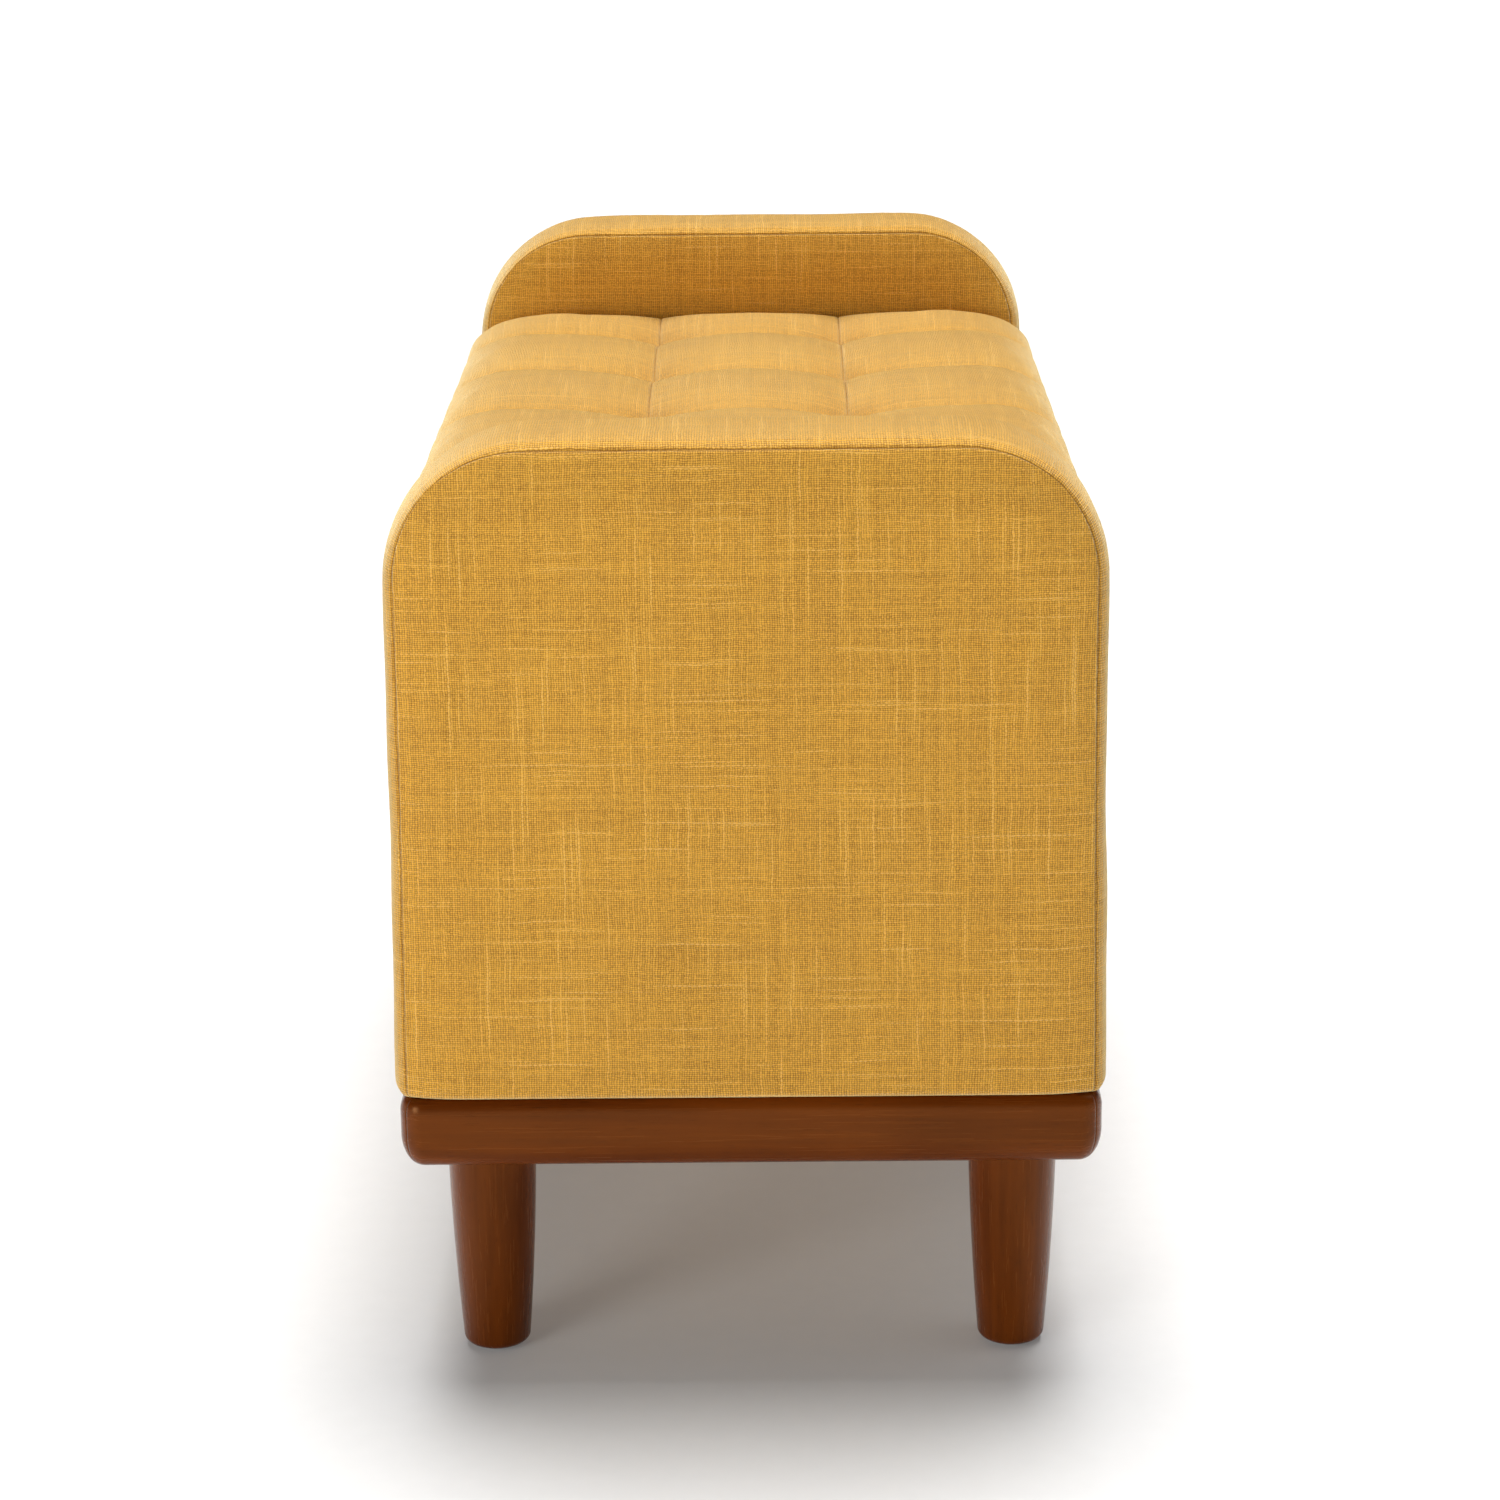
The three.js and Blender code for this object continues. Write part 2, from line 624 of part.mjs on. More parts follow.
// A rivet that starts in one layer, passes through the next and ends in a head on its far side
function rivet(side, shank, head, place) {
  return join(layerRod(side, shank, RIVET_R, place), layerRod(side, head, RIVET_HEAD_R, place));
}

function boxBracket(side) {
  const [y, z] = stayBoxPivot;
  const half = BRACKET_SIZE / 2;
  const plate = layerBox(side, bracketLayer, [y - half, z - half], [y + half, z + half]);
  const headFrom = lowerLayer[1] + LINK_GAP;
  const pin = rivet(side, [bracketLayer[0] + 1, headFrom + 1], [headFrom, headFrom + RIVET_HEAD], stayBoxPivot);
  return join(plate, pin);
}

function lidBracket(side) {
  const [y, z] = stayLidPivot;
  const half = BRACKET_SIZE / 2;
  const top = lidBottom - FIT;
  const ear = layerBox(side, earLayer, [y - half / 2, z - LINK_WIDTH / 2], [y + half / 2, top]);
  const flangeLayer = [earLayer[0], earLayer[1] + BRACKET_FLANGE];
  const flange = layerBox(side, flangeLayer, [y - half, top - BRACKET_PLATE], [y + half, top]);
  const headTo = upperLayer[0] - LINK_GAP;
  const pin = rivet(side, [headTo - 1, earLayer[1] - 1], [headTo - RIVET_HEAD, headTo], stayLidPivot);
  return join(ear, flange, pin);
}

function upperLink(side) {
  const bar = linkBar(side, upperLayer, stayKnee, stayLidPivot, [stayLidPivot]);
  const headTo = lowerLayer[0] - LINK_GAP;
  const pin = rivet(side, [headTo - 1, upperLayer[1] - 1], [headTo - RIVET_HEAD, headTo], stayKnee);
  return join(bar, pin);
}

function addStays() {
  for (const [name, side] of ENDS) {
    addPiece(`stay_${name}_box_bracket`, boxBracket(side), steel);
    const lower = linkBar(side, lowerLayer, stayBoxPivot, stayKnee, [stayBoxPivot, stayKnee]);
    addPiece(`stay_${name}_lower_link`, lower, steel);
    addPiece(`stay_${name}_upper_link`, upperLink(side), steel);
    addPiece(`stay_${name}_lid_bracket`, lidBracket(side), steel);
  }
}

addRails();
addLegs();
addBox();
addArms();
addLid();
addHinges();
addStays();

export default bench;
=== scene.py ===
"""Looks of the upholstered storage bench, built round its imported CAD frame.

Metres, +Z up. X runs along the bench and its front faces -Y. The cushion, the cloth under the lid and
its staples ride on the body "lid". Every other piece made here rides on "bench_frame".
"""

import math

import bmesh
import bpy
import numpy as np
from mathutils import Matrix, Vector


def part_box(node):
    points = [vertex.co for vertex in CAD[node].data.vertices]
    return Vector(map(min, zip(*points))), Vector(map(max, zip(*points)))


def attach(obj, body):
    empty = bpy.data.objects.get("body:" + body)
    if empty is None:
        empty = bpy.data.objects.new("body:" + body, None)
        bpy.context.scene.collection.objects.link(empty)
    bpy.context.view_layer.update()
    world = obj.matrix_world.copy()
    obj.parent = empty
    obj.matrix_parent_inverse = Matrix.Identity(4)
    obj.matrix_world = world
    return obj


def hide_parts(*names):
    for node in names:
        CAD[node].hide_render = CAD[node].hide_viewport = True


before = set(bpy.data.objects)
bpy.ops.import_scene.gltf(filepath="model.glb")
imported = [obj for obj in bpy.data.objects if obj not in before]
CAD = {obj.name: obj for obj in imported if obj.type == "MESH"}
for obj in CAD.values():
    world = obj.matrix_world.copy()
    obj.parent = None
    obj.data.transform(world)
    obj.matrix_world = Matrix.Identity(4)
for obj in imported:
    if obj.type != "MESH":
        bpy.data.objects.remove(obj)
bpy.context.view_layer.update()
SCENE = bpy.context.scene

# ---------- sizes ----------

# Camera: where it stands, how far it looks down, to the side and round, and its lens on a 36 mm sensor
CAMERA_AT = Vector((2.579, 0.0153, 1.0152))
CAMERA_PITCH = math.radians(16.135)
CAMERA_YAW = math.radians(-0.363)
CAMERA_ROLL = math.radians(-0.617)
CAMERA_LENS = 92.4
SENSOR = 36.0

# Light: the world's strength above and at the horizon, the rise of the directions it fades between, the
# floor's own glow, the soft sun from above, and each lamp's place, size, power and colour
WORLD_LIGHT = 0.08
HORIZON_LIGHT = 0.92
HORIZON_FADE = (0.06, 0.22)
FLOOR_GLOW = 0.10
FLOOR_REACH = 60
OVERHEAD_FROM = (-0.28, 0.02, 1.0)
OVERHEAD_SOFTNESS = math.radians(36)
OVERHEAD_STRENGTH = 5.3
LAMPS_AIM = Vector((0, 0, 0.3))
LAMPS = {
    "key": ((2.1, -1.65, 0.65), (1.0, 1.0), 23.0, (1.0, 0.98, 0.93)),
    "fill": ((0.3, 2.0, 2.4), (1.6, 1.6), 8.0, (0.98, 0.99, 1.0)),
}

# Linen-look cloth: the distance between neighbouring yarns, upright and level, and how often a yarn's
# twist and its slubs change along it, and the shade that all else is added to
WARP_PITCH = 0.00147
WEFT_PITCH = 0.00122
TWISTS_PER_METRE = 60.0
SLUBS_PER_METRE = 11.0
SHADE_START = -0.54

# Where on an endless cloth each panel is cut, so that no two show the same slubs
CUT_ARM_FACE = {"outer": 1.7, "inner": 3.1}
CUT_BOXING = 5.3
CUT_SEAT = (7.1, 2.3)
CUT_SEAT_WALL = (9.7, 2.3)
CUT_SEAT_UNDER = (12.9, 4.4)
CUT_PAD_FACE = 15.1
CUT_PAD_BACK = 17.9

# Sewn grooves, and the puckers beside them: height, length, reach, and how unevenly they are spaced
GROOVE_DEPTH = 0.0011
GROOVE_SHARPNESS = 1.5
PUCKER_HEIGHT = 0.00035
PUCKER_LENGTH = 0.013
PUCKER_REACH = 0.010
PUCKER_DRIFT = 2.2
PUCKER_PATCH = 0.07

# Arms: the sewn edge between each face panel and the boxing strip
ARM_SEAM_INSET = 0.0078
ARM_SEAM_R = 0.0765
ARM_SEAM_DEPTH = 0.006
ARM_GRID_STEP = 0.0055

# Arms: how far the strip is drawn in over the two rounded corners, and over how wide a turn
ARM_CORNER_TAUT_FRONT = 0.48
ARM_CORNER_TAUT_BACK = 0.18
ARM_CORNER_TAUT_TURN = 0.62

# Arms: the roll of the faces to the seam, and the turn and the flare at the foot
ARM_FACE_ROLL = 0.042
ARM_FACE_ROLL_POWER = 2.6
ARM_FACE_WAVES = 0.00035
ARM_FACE_SEEDS = {"outer": 11, "inner": 29}
ARM_FOOT_R = 0.005
ARM_FOOT_EASE = 0.006
ARM_FOOT_FLARE = 0.011
ARM_FLARE_ENDS = (0.18, 0.42)

# Arms: the grid lines beside the boxing strip's seams, its fullness and waves, and the ridge that the
# seam's folded edges raise in it
BOXING_LINES = (0.0015, 0.003, 0.0042, 0.0056, 0.0072, 0.0095, 0.013, 0.018, 0.024, 0.031)
BOXING_FULLNESS = 4.5
BOXING_WAVES = 0.0005
RIDGE_HEIGHT = 0.00045
RIDGE_AT = 0.0056
RIDGE_REACH = 0.0015

# Lid cushion: its tufts, and the rolls at its long sides and its ends
TUFT_ROWS = 5
TUFT_COLUMNS = 2
TUFT_COLUMN_SPREAD = 0.136
SIDE_ROLL_WIDTH = 0.064
SIDE_ROLL_DROP = 0.034
SIDE_SWELL = 0.003
ROLL_FULLNESS = 0.86
ROLL_STEPS = 10
END_ROLL_WIDTH = 0.014
END_ROLL_DROP = 0.016
CUSHION_CORNER_R = 0.016
CUSHION_STEP = 0.0065
SEAM_BESIDE = 0.0011
ON_LINE = 1e-6

# Lid cushion: how far the sewn lines and the tufts pull the cover down before it is stuffed
ROW_PULL = 0.0050
ROW_REACH = 0.014
COLUMN_PULL = 0.0040
COLUMN_REACH = 0.010
TUFT_PULL = 0.0085
TUFT_REACH = 0.022
PLEAT_HEIGHT = 0.0007
PLEAT_AT = 0.012
PLEATS_ROUND = 12

# Lid cushion: the stuffing, the wall tucked round the lid board, and the room beside the arms
CUSHION_START_LOW = 0.0024
CUSHION_PRESSURE = 5.0
CUSHION_CAP = 0.022
WALL_SHARES = (0.14, 0.28, 0.42, 0.56, 0.70, 0.82, 0.91, 0.97, 1.0)
WALL_PINNED_RINGS = 3
# How sewn the wall's seams are: how deep they sink and how much painted shade darkens them.
WALL_SEWN = 0.85
BOARD_WRAP = 0.0007
UNDERSIDE_SHRINK = (0.985, 0.975)
END_CLEARANCE = 0.0006

# Lid cushion: the dimples that the tufts leave in the stuffed cover, how much painted shade darkens them,
# and how far above the cushion's foot dimples begin and are full
TUFT_FUNNEL = 0.010
TUFT_SHADE = 0.85
FUNNEL_REACH = 0.028
FUNNEL_FROM = 0.030
FUNNEL_FULL = 0.045

# Padding on the front and back: its grid, its turned edge, its swell and its waves
PAD_STEP = 0.009
PAD_EDGE_R = 0.007
PAD_SWELL = 0.0012
PAD_WAVES = 0.0005
PAD_BACK_EDGE = 0.0004

# Staples: inset from the cloth's edge, width, wire, the legs' rise, and the greatest turn off square
STAPLE_INSET = 0.010
STAPLE_WIDTH = 0.010
STAPLE_WIRE = 0.00055
STAPLE_LEG = 0.0008
STAPLE_ASKEW = 0.25
STAPLE_SIDES = 6

# Base rails: rounding in plan and, as depth and height, in section
RAIL_CORNER_R = 0.014
RAIL_LEAST_R = 0.0008
RAIL_TOP_ROUND = (0.0055, 0.009)
RAIL_FOOT_ROUND = (0.0125, 0.020)
RAIL_BACK_ROUND = (0.0012, 0.0012)
RAIL_ARC_STEPS = 10
MITRE_GAP = 0.0002

# Legs and glides: the glide's profile as shares of its radius and heights above the floor side
LEG_FOOT_R = 0.0205
LEG_FOOT_ROUND = 0.005
LEG_FULLNESS = 0.0011
LEG_TOP_EASE = 0.0006
GLIDE_EDGE = ((0.86, 0.0), (0.96, 0.0005), (1.0, 0.0013))

# Taken from the frame
ARM_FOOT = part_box("arm_right_board")[0].z
CUSHION_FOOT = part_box("lid_board")[0].z - 0.00015
CORNER_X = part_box("rail_right")[1].x
CORNER_Y = -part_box("rail_front")[0].y


# ---------- small numeric helpers ----------

def smoothstep(low, high, value):
    share = np.clip((value - low) / (high - low), 0.0, 1.0)
    return share * share * (3.0 - 2.0 * share)


def ripple(u, v, wavelength, seed, waves=7):
    """A smooth, irregular height between about -1 and 1 over the plane (u, v)."""
    rng = np.random.default_rng(seed)
    total = np.zeros(np.broadcast(u, v).shape)
    for _ in range(waves):
        angle = rng.uniform(0, math.tau)
        number = math.tau / (wavelength * rng.uniform(0.7, 1.6))
        total += np.sin(number * (np.cos(angle) * u + np.sin(angle) * v) + rng.uniform(0, math.tau))
    return total / math.sqrt(waves)


def spaced(breaks, step, beside):
    """Grid lines from the first break to the last, about `step` apart, with a line `beside` each break."""
    lines = set()
    for low, high in zip(breaks[:-1], breaks[1:]):
        count = max(2, round((high - low) / step))
        lines.update(np.linspace(low, high, count + 1).round(7))
        lines.update([round(low + beside, 7), round(high - beside, 7)])
    ordered = sorted(lines)
    kept = [ordered[0]]
    for value in ordered[1:]:
        if value - kept[-1] > beside * 0.6 or value in breaks:
            kept.append(value)
    return np.array(kept)


def quarter_turn(share):
    """Rises from 0 to 1 over a share from 0 to 1, as a quarter of a circle does."""
    return np.sqrt(1 - (1 - share) ** 2)


def nearest(values, lines):
    """How far each value is from the nearest line."""
    return np.min([np.abs(values - line) for line in lines], axis=0)


def inside_edges(u, v, low_u, high_u, low_v, high_v):
    """How far each point of the plane (u, v) lies inside a rectangle."""
    return np.minimum(np.minimum(u - low_u, high_u - u), np.minimum(v - low_v, high_v - v))


def lengths_along(points):
    """How far each point lies from the first, measured from point to point."""
    return np.concatenate([[0], np.cumsum(np.linalg.norm(np.diff(points, axis=0), axis=1))])


def lengths_round(points):
    """The same round a closed loop, with the way back to the first point at the end."""
    return lengths_along(np.concatenate([points, points[:1]]))


# ---------- mesh helpers ----------

def put(name, data):
    """A new object in the scene."""
    made = bpy.data.objects.new(name, data)
    SCENE.collection.objects.link(made)
    return made


def make_piece(name, vertices, faces, material, face_uvs=None):
    """A mesh object; face_uvs gives each face's corners in the cloth's or the grain's own metres."""
    mesh = bpy.data.meshes.new(name)
    mesh.from_pydata([tuple(map(float, v)) for v in vertices], [], faces)
    if face_uvs is not None:
        layer = mesh.uv_layers.new(name="cloth")
        flat = np.array([corner for face in face_uvs for corner in face], dtype=np.float32)
        layer.data.foreach_set("uv", flat.ravel())
    mesh.materials.append(material)
    return put(name, mesh)


def turn_faces_out(piece):
    work = bmesh.new()
    work.from_mesh(piece.data)
    bmesh.ops.recalc_face_normals(work, faces=work.faces)
    work.to_mesh(piece.data)
    work.free()
    piece.data.shade_smooth()


def read(collection, key, width):
    """A key's values in a mesh's collection, `width` numbers for each entry."""
    flat = np.empty(len(collection) * width, dtype=np.float32)
    collection.foreach_get(key, flat)
    return flat.reshape(-1, width).astype(float)


def coordinates(mesh):
    return read(mesh.vertices, "co", 3)


def set_coordinates(mesh, points):
    mesh.vertices.foreach_set("co", np.asarray(points, dtype=np.float32).ravel())
    mesh.update()


def set_attribute(piece, name, values):
    attribute = piece.data.attributes.new(name, "FLOAT", "POINT")
    attribute.data.foreach_set("value", np.asarray(values, dtype=np.float32))


def apply_modifiers(piece):
    graph = bpy.context.evaluated_depsgraph_get()
    final = bpy.data.meshes.new_from_object(piece.evaluated_get(graph), depsgraph=graph)
    old = piece.data
    piece.modifiers.clear()
    piece.data = final
    bpy.data.meshes.remove(old)
    final.name = piece.name
    final.shade_smooth()


def subdivide(piece):
    modifier = piece.modifiers.new("finer", "SUBSURF")
    modifier.levels = 1
    modifier.render_levels = 1
    apply_modifiers(piece)


def sink_grooves(piece):
    """Sinks the sewn lines of a subdivided cover; gives back how sewn each point is, which also sets the
    painted shade there, and the points.
    """
    crease_and_shade = read(piece.data.attributes["crease_and_shade"].data, "value", 1)
    normals = read(piece.data.vertex_normals, "vector", 3)
    sunk = coordinates(piece.data) - normals * (GROOVE_DEPTH * crease_and_shade ** GROOVE_SHARPNESS)
    return crease_and_shade[:, 0], sunk


def inflate(piece, pinned, pressure, cap, frames=20):
    """Stuffs a cover by cloth simulation: the pinned points stay, and none moves further than cap."""
    start = coordinates(piece.data)
    group = piece.vertex_groups.new(name="pinned")
    group.add([int(index) for index in np.flatnonzero(pinned)], 1.0, "REPLACE")
    cloth = piece.modifiers.new("cloth", "CLOTH")
    stuffed = dict(
        quality=7, mass=0.3, tension_stiffness=8, compression_stiffness=5, shear_stiffness=3,
        bending_stiffness=0.2, shrink_min=-0.005, vertex_group_mass="pinned", use_pressure=True,
        uniform_pressure_force=pressure,
    )
    for key, value in stuffed.items():
        setattr(cloth.settings, key, value)
    cloth.settings.effector_weights.gravity = 0
    cloth.collision_settings.use_collision = False
    cloth.point_cache.frame_start = 1
    cloth.point_cache.frame_end = frames
    for number in range(1, frames + 1):
        SCENE.frame_set(number)
    graph = bpy.context.evaluated_depsgraph_get()
    moved = coordinates(piece.evaluated_get(graph).data)
    piece.modifiers.clear()
    piece.vertex_groups.clear()
    SCENE.frame_set(1)
    step = moved - start
    length = np.linalg.norm(step, axis=1, keepdims=True)
    set_coordinates(piece.data, start + step * np.minimum(1.0, cap / np.maximum(length, 1e-9)))


def finish_piece(piece, body, replaced=()):
    """Every piece rides on a body and may stand for CAD nodes, which it hides."""
    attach(piece, body)
    if replaced:
        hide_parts(*replaced)


# ---------- material helpers ----------

class Graph:
    """A short way to write a material's nodes."""

    def __init__(self, name):
        self.material = bpy.data.materials.new(name)
        self.material.use_nodes = True
        self.tree = self.material.node_tree
        self.tree.nodes.clear()
        self.shader = self.add("ShaderNodeBsdfPrincipled")
        output = self.add("ShaderNodeOutputMaterial")
        self.tree.links.new(self.shader.outputs["BSDF"], output.inputs["Surface"])

    def add(self, kind, **settings):
        node = self.tree.nodes.new(kind)
        for key, value in settings.items():
            setattr(node, key, value)
        return node

    def feed(self, socket, value):
        if isinstance(value, bpy.types.NodeSocket):
            self.tree.links.new(value, socket)
        else:
            socket.default_value = value

    def math(self, operation, first, second=0.0, third=0.0):
        node = self.add("ShaderNodeMath", operation=operation)
        for socket, value in zip(node.inputs, (first, second, third)):
            self.feed(socket, value)
        return node.outputs[0]

    def scaled(self, value, factor, added=0.0):
        return self.math("MULTIPLY_ADD", value, factor, added)

    def ramp(self, value, low, high):
        node = self.add("ShaderNodeMapRange", interpolation_type="SMOOTHSTEP")
        for socket, entry in zip(node.inputs, (value, low, high)):
            self.feed(socket, entry)
        return node.outputs[0]

    def combine(self, x, y, z=0.0):
        node = self.add("ShaderNodeCombineXYZ")
        for socket, value in zip(node.inputs, (x, y, z)):
            self.feed(socket, value)
        return node.outputs[0]

    def noise(self, vector, scale, detail=2.0, roughness=0.5):
        node = self.add("ShaderNodeTexNoise")
        self.feed(node.inputs["Vector"], vector)
        node.inputs["Scale"].default_value = scale
        node.inputs["Detail"].default_value = detail
        node.inputs["Roughness"].default_value = roughness
        return node.outputs[0]

    def white(self, value):
        node = self.add("ShaderNodeTexWhiteNoise", noise_dimensions="1D")
        self.feed(node.inputs["W"], value)
        return node.outputs["Value"]

    def blend(self, share, first, second):
        node = self.add("ShaderNodeMix", data_type="RGBA")
        self.feed(node.inputs[0], share)
        self.feed(node.inputs[6], first)
        self.feed(node.inputs[7], second)
        return node.outputs[2]

    def bump(self, height, distance, strength):
        node = self.add("ShaderNodeBump")
        node.inputs["Distance"].default_value = distance
        node.inputs["Strength"].default_value = strength
        self.feed(node.inputs["Height"], height)
        return node.outputs[0]

    def split(self, vector):
        node = self.add("ShaderNodeSeparateXYZ")
        self.feed(node.inputs[0], vector)
        return node.outputs[0], node.outputs[1], node.outputs[2]

    def set(self, **sockets):
        for name, value in sockets.items():
            self.feed(self.shader.inputs[name.replace("_", " ")], value)


# ---------- cloth material ----------

def yarn_set(graph, across, along, seed):
    """One set of yarns: the place across the yarn, its tone, its pale thick slubs, its changing twist."""
    number = graph.math("FLOOR", across)
    inside = graph.math("FRACT", across)
    tone = graph.white(graph.math("ADD", number, seed))
    lane = graph.scaled(number, 7.31, seed)
    twist_at = graph.scaled(along, TWISTS_PER_METRE)
    slub_at = graph.scaled(along, SLUBS_PER_METRE)
    twist = graph.noise(graph.combine(lane, twist_at), 1.0, 3.0, 0.65)
    drawn = graph.noise(graph.combine(lane, slub_at, 9.0), 1.0, 1.0)
    slub = graph.ramp(drawn, 0.58, 0.76)
    return inside, tone, slub, twist


def yarn_height(graph, arch, rise, slub):
    """A yarn's round top, higher where it passes over the other set and where it is thick."""
    level = graph.scaled(rise, 0.4, graph.scaled(slub, 0.45, 0.6))
    return graph.scaled(graph.math("POWER", arch, 0.6), level)


def linen_material():
    """Plain weave of uneven mustard yarns with paler slubs and a dry sheen, and painted shade in its sewn
    grooves and tuft dimples.
    """
    graph = Graph("linen")
    uv = graph.add("ShaderNodeUVMap", uv_map="cloth").outputs[0]
    u, v, _ = graph.split(uv)

    def yarn_count(along, first, second, wobble_reach, pitch):
        """Counts yarns across the cloth, each a little off its straight course."""
        wander = graph.noise(graph.combine(*first), 26.0, 2.0)
        wobble = graph.noise(graph.combine(*second), 260.0, 1.0)
        place = graph.scaled(wander, 0.0032, along)
        return graph.math("DIVIDE", graph.scaled(wobble, wobble_reach, place), pitch)

    warp = yarn_count(u, (u, v), (u, v, 2.0), 0.0011, WARP_PITCH)
    weft = yarn_count(v, (v, u, 5.0), (v, u, 7.0), 0.0009, WEFT_PITCH)
    warp_in, warp_tone, warp_slub, warp_twist = yarn_set(graph, warp, v, 3.0)
    weft_in, weft_tone, weft_slub, weft_twist = yarn_set(graph, weft, u, 57.0)

    parity = graph.math("ADD", graph.math("FLOOR", warp), graph.math("FLOOR", weft))
    over = graph.scaled(graph.math("FRACT", graph.scaled(parity, 0.5)), 4.0)
    over = graph.math("SUBTRACT", over, 1.0)
    warp_arch = graph.math("SINE", graph.scaled(warp_in, math.pi))
    weft_arch = graph.math("SINE", graph.scaled(weft_in, math.pi))
    warp_rise = graph.scaled(over, weft_arch)
    weft_rise = graph.scaled(graph.scaled(over, warp_arch), -1.0)
    warp_high = yarn_height(graph, warp_arch, warp_rise, warp_slub)
    weft_high = yarn_height(graph, weft_arch, weft_rise, weft_slub)
    height = graph.math("MAXIMUM", warp_high, weft_high)
    on_top = graph.math("GREATER_THAN", warp_high, weft_high)

    def pick(when_warp, when_weft):
        node = graph.add("ShaderNodeMix", data_type="FLOAT")
        graph.feed(node.inputs[0], on_top)
        graph.feed(node.inputs[2], when_weft)
        graph.feed(node.inputs[3], when_warp)
        return node.outputs[0]

    tone = pick(warp_tone, weft_tone)
    slub = pick(warp_slub, weft_slub)
    twist = pick(warp_twist, weft_twist)
    patch = graph.noise(graph.combine(u, v), 9.0, 3.0)
    fuzz = graph.noise(graph.combine(u, v), 1400.0, 2.0)

    crossing = graph.scaled(graph.math("FLOOR", warp), 17.3, graph.math("FLOOR", weft))
    speckle = graph.white(crossing)
    # The shade adds the cloth's own random yarn tone, twist, speckle, patches, fuzz and slubs to painted
    # shade from the yarns' height, which darkens the gaps between yarns.
    shade = SHADE_START
    parts = (tone, height, twist, speckle, patch, fuzz, slub)
    for part, share in zip(parts, (0.22, 1.10, 0.36, 0.22, 0.16, 0.40, 0.12)):
        shade = graph.scaled(part, share, shade)
    # Painted shade: the cloth is darkened along its sewn grooves and in its tuft dimples.
    crease_and_shade = graph.add("ShaderNodeAttribute", attribute_name="crease_and_shade").outputs["Fac"]
    shade = graph.scaled(shade, graph.scaled(crease_and_shade, -0.42, 1.0))
    crown = graph.blend(graph.scaled(slub, 0.28), CLOTH_COLOUR, CLOTH_SLUB_COLOUR)
    # Painted shade: low places between the yarns take the dark gap colour.
    colour = graph.blend(graph.ramp(shade, 0.10, 1.35), CLOTH_GAP_SHADE_COLOUR, crown)

    rough = graph.bump(graph.scaled(fuzz, 0.30, height), 0.00058, 0.90)
    graph.set(
        Base_Color=colour,
        Roughness=0.88,
        Specular_IOR_Level=0.22,
        Sheen_Weight=1.0,
        Sheen_Roughness=0.42,
        Sheen_Tint=(1.0, 0.93, 0.60, 1.0),
        Normal=rough,
    )
    return graph.material


# ---------- wood, metal and plastic materials ----------

def wood_material(name, grain, dark, light, roughness):
    """Wood cut along one axis: growth bands, fine streaks, pores and a sealed surface."""
    graph = Graph(name)
    place = graph.add("ShaderNodeTexCoord").outputs["Object"]
    x, y, z = graph.split(place)
    along, side, rise = {"x": (x, y, z), "y": (y, x, z), "z": (z, x, y)}[grain]

    def drawn_out(share):
        return graph.combine(graph.scaled(along, share), side, rise)

    warped = graph.noise(drawn_out(0.055), 22.0, 3.0, 0.55)
    bands = graph.math("SINE", graph.scaled(warped, 46.0))
    streaks = graph.noise(drawn_out(0.03), 420.0, 3.0, 0.6)
    pores = graph.noise(drawn_out(0.05), 1500.0, 2.0)
    broad = graph.noise(graph.combine(along, side, rise), 7.0, 2.0)
    share = graph.scaled(bands, 0.07, -0.07)
    share = graph.scaled(streaks, 0.40, share)
    share = graph.scaled(broad, 0.75, share)
    colour = graph.blend(graph.ramp(share, 0.05, 0.95), dark, light)
    pits = graph.ramp(pores, 0.36, 0.30)
    pit_colour = tuple(0.4 * channel for channel in dark[:3]) + (1,)
    relief = graph.scaled(pits, -0.6, graph.scaled(streaks, 0.5))
    graph.set(
        Base_Color=graph.blend(graph.scaled(pits, 0.35), colour, pit_colour),
        Roughness=graph.scaled(streaks, 0.14, roughness),
        Specular_IOR_Level=0.36,
        Specular_Tint=(1.0, 0.52, 0.22, 1.0),
        Normal=graph.bump(relief, 0.00012, 0.5),
    )
    return graph.material


def steel_material():
    """Zinc-plated steel, lightly scratched and mottled."""
    graph = Graph("zinc_steel")
    place = graph.add("ShaderNodeTexCoord").outputs["Object"]
    mottle = graph.noise(place, 160.0, 3.0)
    scratch = graph.noise(place, 1800.0, 2.0)
    colour = graph.blend(mottle, (0.36, 0.37, 0.38, 1), (0.62, 0.62, 0.60, 1))
    graph.set(
        Base_Color=colour,
        Metallic=1.0,
        Roughness=graph.scaled(mottle, 0.25, 0.22),
        Normal=graph.bump(scratch, 0.00005, 0.5),
    )
    return graph.material


def plain_grain_material(name, dark, light, scale, roughness, depth):
    """Moulded or felted stuff: a fine grain in colour, roughness and height."""
    graph = Graph(name)
    place = graph.add("ShaderNodeTexCoord").outputs["Object"]
    fine = graph.noise(place, scale, 3.0)
    broad = graph.noise(place, scale * 0.05, 2.0)
    share = graph.scaled(broad, 0.5, graph.scaled(fine, 0.5))
    graph.set(
        Base_Color=graph.blend(share, dark, light),
        Roughness=graph.scaled(fine, 0.15, roughness),
        Normal=graph.bump(fine, depth, 0.7),
    )
    return graph.material


CLOTH_COLOUR = (0.87, 0.460, 0.058, 1)
CLOTH_GAP_SHADE_COLOUR = (0.22, 0.072, 0.005, 1)
CLOTH_SLUB_COLOUR = (0.92, 0.60, 0.19, 1)
WALNUT_DARK = (0.072, 0.0130, 0.0008, 1)
WALNUT_LIGHT = (0.170, 0.0370, 0.0028, 1)

